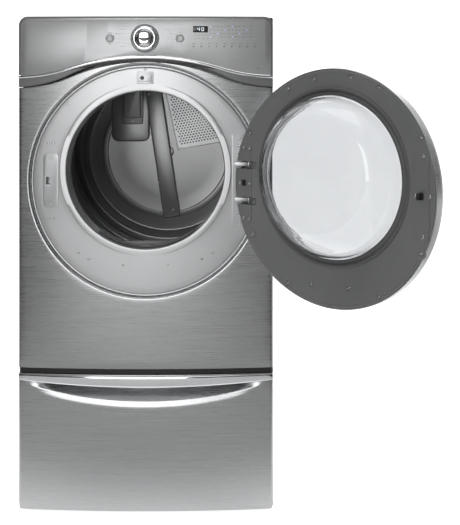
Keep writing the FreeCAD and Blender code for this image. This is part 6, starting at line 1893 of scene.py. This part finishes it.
def makeDrawerFront():
    sizes = drawerSizes
    half, corner, edge = machine["half"], sizes["corner"], sizes["edge"]
    quarter = [math.sin(math.pi / 2 * step / 5) for step in range(6)]
    rightSide = [half - corner + corner * share for share in quarter]
    columns = [-x for x in reversed(rightSide)] + everyStep(corner - half, half - corner,
                                                            5.5)[1:-1] + rightSide
    below = [0.0, 0.06, 0.12] + [0.12 + 0.74 * step / 16 for step in range(1, 17)]
    below += [0.90, 0.925, 0.945, 0.96, 0.975, 0.988]
    above = [0.0, 0.02, 0.05, 0.09, 0.14, 0.2, 0.28, 0.38, 0.5, 0.62, 0.75, 0.88, 1.0]
    rows = 5 + len(below) + len(above) + 5
    fresh()
    bpy.ops.mesh.primitive_grid_add(x_subdivisions=len(columns) - 1, y_subdivisions=rows - 1, size=2)
    piece = named("drawerFront")
    for vertex in piece.data.vertices:
        column = round((vertex.co.x + 1) / 2 * (len(columns) - 1))
        row = round((vertex.co.y + 1) / 2 * (rows - 1))
        x = columns[column]
        lip = scoopEdge(x)
        deep = sizes["scoopDeep"] * smoothStep(-2, 26, sizes["lip"] - lip)
        depth = 0.0
        if row < 5:
            share = row / 5 * math.pi / 2
            z = sizes["low"] + edge - edge * math.cos(share)
            depth = edge - edge * math.sin(share)
        elif row < 5 + len(below):
            z = sizes["low"] + edge + (lip - sizes["low"] - edge) * below[row - 5]
            depth = deep * sizes["lipShare"] * smoothStep(lip - sizes["lipTall"], lip, z) ** 1.6
        elif row < 5 + len(below) + len(above):
            share = above[row - 5 - len(below)]
            z = lip + (sizes["high"] - edge - 1.5 - lip) * share
            fall = smoothStep(-0.35, 0.55, share)
            depth = deep * (sizes["lipShare"] + (1 - sizes["lipShare"]) * (fall - scoopStart) / (1 - scoopStart))
            if share > 0.94:
                depth *= 0.0
        else:
            share = (row - 4 - len(below) - len(above)) / 5 * math.pi / 2
            z = sizes["high"] - edge + edge * math.sin(share)
            depth = edge - edge * math.cos(share)
        fall = 0.0
        if abs(x) > half - corner:
            fall = corner - math.sqrt(max(corner ** 2 - (abs(x) - half + corner) ** 2, 0))
        # the lower corners are rounded in the front's own plane too
        sideways, down = abs(x) - (half - 10), sizes["low"] + 10 - z
        if sideways > 0 and down > 0 and math.hypot(sideways, down) > 10:
            shrink = 10 / math.hypot(sideways, down)
            x = math.copysign(half - 10 + sideways * shrink, x)
            z = sizes["low"] + 10 - down * shrink
        vertex.co = (x * mm, (bowY(min(abs(x), half - corner), depth) + fall) * mm, z * mm)
    pick(piece, lambda a, b: False, "EDGE")
    bpy.ops.mesh.select_all(action="SELECT")
    bpy.ops.mesh.region_to_loop()
    bpy.ops.mesh.extrude_region()
    mesh = bmesh.from_edit_mesh(piece.data)
    for vertex in mesh.verts:
        if vertex.select:
            vertex.co.y = sizes["rear"] * mm
    bmesh.update_edit_mesh(piece.data)
    done(piece)
    only(piece)
    forward = sum(1 for face in piece.data.polygons if face.normal.y < -0.5)
    if forward < len(piece.data.polygons) / 3:
        bpy.ops.object.mode_set(mode="EDIT")
        bpy.ops.mesh.select_all(action="SELECT")
        bpy.ops.mesh.flip_normals()
        done(piece)
    modify(piece, "SOLIDIFY", thickness=1.2 * mm, offset=-1, use_even_offset=False)
    smooth(piece, 40)
    fit(piece, "drawer", "stainless", finishes["skin"], "drawer_front")


makeDrawerFront()


def makeHandle():
    low, high = nodeSpan("drawer_handle_strip")
    half = high.x
    section = [(0.02, 0.04), (0.02, 0.96), (0.3, 1.0), (0.62, 1.0), (0.84, 0.975), (0.95, 0.92),
               (1.0, 0.82), (1.0, 0.66),
               (0.985, 0.48), (0.95, 0.3), (0.9, 0.15), (0.83, 0.05), (0.72, 0.0), (0.5, 0.0), (0.25, 0.0)]
    loops = []
    for x in everyStep(-half, half, 9):
        share = (x / half) ** 2
        bottom = low.z + 14.5 * share
        frontY = low.y + 29 * share
        taper = 0.5 + 0.5 * smoothStep(0, 8, half - abs(x))
        backY = bowY(x)
        loops.append([(x, backY + (frontY - backY) * out * taper, bottom + (high.z - bottom) * up)
                      for out, up in section])
    piece = smooth(throughLoops("drawerHandle", loops, "capped"), 45)
    fit(piece, "drawer", "chrome_trim", finishes["chrome"], "drawer_handle_strip")


makeHandle()


def makeDeckPaintedShade():                   # a black strip painted as the shade in the gap over the drawer
    tall = [(0, 384.4), (0, 396.6), (9, 396.6), (9, 384.4)]
    loops = []
    for x in everyStep(-338, 338, 13):
        loops.append([(x, bowY(x, 5) + y, z) for y, z in tall])
    piece = smooth(throughLoops("deckPaintedShade", loops, "capped"), 30)
    fit(piece, "cabinet", "black_plastic", finishes["black"])


makeDeckPaintedShade()
print("drawer made")


# Cabinet sheets, feet, and what shows at the back
def makeCabinet():
    low, high = nodeSpan("top_panel")
    top = block("topPanel", low, high, 0)
    pick(top, lambda a, b: min(a.z, b.z) > high.z - 1 and max(a.y, b.y) > low.y + 1
         or abs(a.z - b.z) > 5 and min(a.y, b.y) > high.y - 1, "EDGE")
    bpy.ops.mesh.bevel(offset=5 * mm, segments=5, affect="EDGES")
    done(top)
    hollow = block("topHollow", (low.x + 1.2, low.y - 5, low.z - 5), (high.x - 1.2, high.y - 1.2, high.z - 3))
    carve(top, hollow)
    fit(smooth(top), "cabinet", "painted_sides", finishes["sides"], "top_panel")

    for node, side in (("left_side_panel", -1), ("right_side_panel", 1)):
        low, high = nodeSpan(node)
        outerX = side * machine["half"]
        points = [(-330.5, 394), (357.5, 394), (357.5, 1318), (-295.5, 1318), (-295.5, 1152), (-330.5, 1152)]
        sheet = slabFrom(node, points, 0, 1.2)
        sheet.data.transform(Matrix(((0, -side, 0, outerX * mm), (1, 0, 0, 0), (0, 0, 1, 0), (0, 0, 0, 1))))
        outward(sheet)
        pick(sheet, lambda middle, normal: abs(normal.x - side) < 0.01)
        bpy.ops.mesh.inset(thickness=34 * mm, depth=0)       # a shallow pressed field stiffens the sheet
        bpy.ops.mesh.inset(thickness=7 * mm, depth=-1.1 * mm)
        done(sheet)
        fold = block(f"{node}Fold", (min(outerX, outerX - side * 16), 355.1, 424),
                     (max(outerX, outerX - side * 16), 356.3, 1318))
        sheet = smooth(joined(node, [sheet, fold]))
        fit(sheet, "cabinet", "painted_sides", finishes["sides"], node)

    low, high = nodeSpan("rear_panel")
    rear = slabFrom("rearPanel", boxOutline((low.x, low.z), (high.x, high.z)), machine["back"] - 1.2,
                    machine["back"])
    holes = []
    for row in range(4):
        for column in range(6):
            x, z = -283 + 34 * column, 1194 - 22 * row
            holes.append(slabFrom("vent", boxOutline((x, z), (x + 24, z + 7), 3, 4), 340, 370))
    cutter = joined("vents", holes)
    carve(rear, cutter, slabFrom("ductOpening", disc(84, 480, 51.8, 64), 340, 370),
          slabFrom("cordOpening", disc(-273, 514, 11, 32), 340, 370))
    fit(smooth(rear), "cabinet", "galvanised", finishes["galvanised"], "rear_panel")


makeCabinet()


def makeRearDetails():
    back = machine["back"]
    beads = []
    for x, z, wide, tall in ((-150, 880, 300, 9), (-150, 820, 300, 9), (-150, 760, 300, 9),
                             (150, 880, 200, 9),
                             (150, 820, 200, 9), (150, 760, 200, 9)):
        outline = boxOutline((x - wide / 2 + 30, z), (x + wide / 2 + 30, z + tall), 4.4, 5)
        bead = slabFrom("rearBead", outline, back - 0.6, back + 1.6)
        rimBevel(bead, back + 1.6, 1.2, 3)
        beads.append(bead)
    ribs = smooth(joined("rearBeads", beads), 40)
    fit(ribs, "cabinet", "galvanised", finishes["galvanised"])
    cover = slabFrom("terminalCover", boxOutline((-318, 540), (-228, 640), 6, 5), back - 0.5, back + 2.2)
    rimBevel(cover, back + 2.2, 1, 3)
    fit(smooth(cover), "cabinet", "galvanised", finishes["duct"])
    grommet = turned("cordGrommet", -273, 514, rounded([(11.2, back - 4), (11.2, back + 2.5, 1),
                                                        (15, back + 2.5, 1),
                                                        (15, back), (13, back - 4)], 3), 40)
    fit(smooth(grommet, 40), "cabinet", "black_plastic", finishes["black"])
    collar = turned("ductCollar", 84, 480, rounded([(52, back), (52, back + 1.8, 0.6), (66, back + 1.5, 0.6),
                                                    (66, back)], 3), 96)
    fit(smooth(collar, 40), "cabinet", "galvanised", finishes["galvanised"])
    hoods = []
    for row in range(4):
        for column in range(6):
            x, z = -283 + 34 * column, 1194 - 22 * row
            hood = slabFrom("ventHood", boxOutline((x + 1, z + 5), (x + 23, z + 9), 1.8, 3), back - 0.4,
                            back + 3)
            rimBevel(hood, back + 3, 1.4, 2)
            hoods.append(hood)
    fit(smooth(joined("ventHoods", hoods), 40), "cabinet", "galvanised", finishes["galvanised"])
    spots = []
    for z in (410, 600, 800, 1000, 1180, 1300):
        spots += [(-332, back, z), (332, back, z)]
    for x in (-200, -60, 80, 220):
        spots.append((x, back, 1306))
    for x, z in ((-310, 548), (-236, 548), (-310, 632), (-236, 632), (84, 540.5), (26, 458), (142, 458)):
        spots.append((x, back + (2.2 if x < 0 else 1.6 if z < 545 else 0), z))
    for x in (-300, -100, 100, 300):
        spots += [(x, back, 384), (x, back, 40)]
    turn = Matrix.Rotation(math.pi, 4, "Z")
    heads = [twin(screwModel, f"rearScrew{i}", spot, turn) for i, spot in enumerate(spots)]
    fit(joined("rearScrews", heads), "cabinet", "machined_steel", finishes["steel"])


makeRearDetails()


def makeFeet():
    for node, body in (("levelling_foot_left_front", "foot_left_front"),
                       ("levelling_foot_left_rear", "foot_left_rear"),
                       ("levelling_foot_right_front", "foot_right_front"),
                       ("levelling_foot_right_rear", "foot_right_rear")):
        low, high = nodeSpan(node)
        middleX, middleY = (low.x + high.x) / 2, (low.y + high.y) / 2
        profile = [(0.01, 0), (17.6, 0), (19, 1.2), (19, 7), (18.2, 8.6), (15, 11), (11, 12.6), (9, 13.4),
                   (5, 14),
                   (5, 15)]
        for step in range(12):           # the thread's crests
            profile += [(4.9, 16 + step * 3), (4.3, 17.5 + step * 3)]
        profile += [(4.6, 54), (3.8, 56), (0.01, 56)]
        foot = turned("foot", 0, 0, [(radius, -z) for radius, z in profile], 40, "capped")
        foot.data.transform(Matrix.Translation(Vector((middleX, middleY, 0)) * mm)
                            @ Matrix.Rotation(math.radians(-90), 4, "X"))
        nut = turned("footNut", 0, 0, [(5.2, -14.2), (9.5, -14.2), (9.5, -20), (5.2, -20)], 6, "joined")
        nut.data.transform(Matrix.Translation(Vector((middleX, middleY, 0)) * mm)
                           @ Matrix.Rotation(math.radians(-90), 4, "X"))
        foot = joined(node.replace("levelling_", ""), [foot, nut])
        outward(foot)
        fit(smooth(foot, 35), body, "black_plastic", finishes["black"], node)


makeFeet()


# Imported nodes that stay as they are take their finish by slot
slotFinish = {
    "stainless": "skin", "painted_sides": "sides", "galvanised": "galvanised", "console_shell": "shell",
    "console_face": "overlay", "chrome_trim": "chrome", "dark_window": "window", "circuit_board": "board",
    "drum_coat": "drum", "baffle_plastic": "baffle", "bulkhead_coat": "bulkhead", "grille_steel": "grille",
    "lamp_lens": "lens", "felt": "felt", "motor_case": "motor", "machined_steel": "steel",
    "duct_steel": "duct",
    "heater_wire": "wire", "black_plastic": "black", "grey_plastic": "greyPlastic", "belt_rubber": "rubber",
    "roller_rubber": "rubber", "filter_frame": "filter", "knob_finish": "knob", "liner_grey": "liner",
    "cover_grey": "cover", "door_rim": "rim", "door_glass": "glass", "door_bowl_glass": "bowl",
    "seal_rubber": "seal",
}
for subpart in frame["record"]["subparts"]:
    node = frame["nodes"][subpart["node"]]
    if not node.hide_render:
        paint(node, finishes[slotFinish[subpart["material_slot"]]])
paint(frame["nodes"]["pedestal_chassis"], finishes["sides"])
print("cabinet made, packed nodes finished")


bpy.data.objects.remove(screwModel)
fresh()
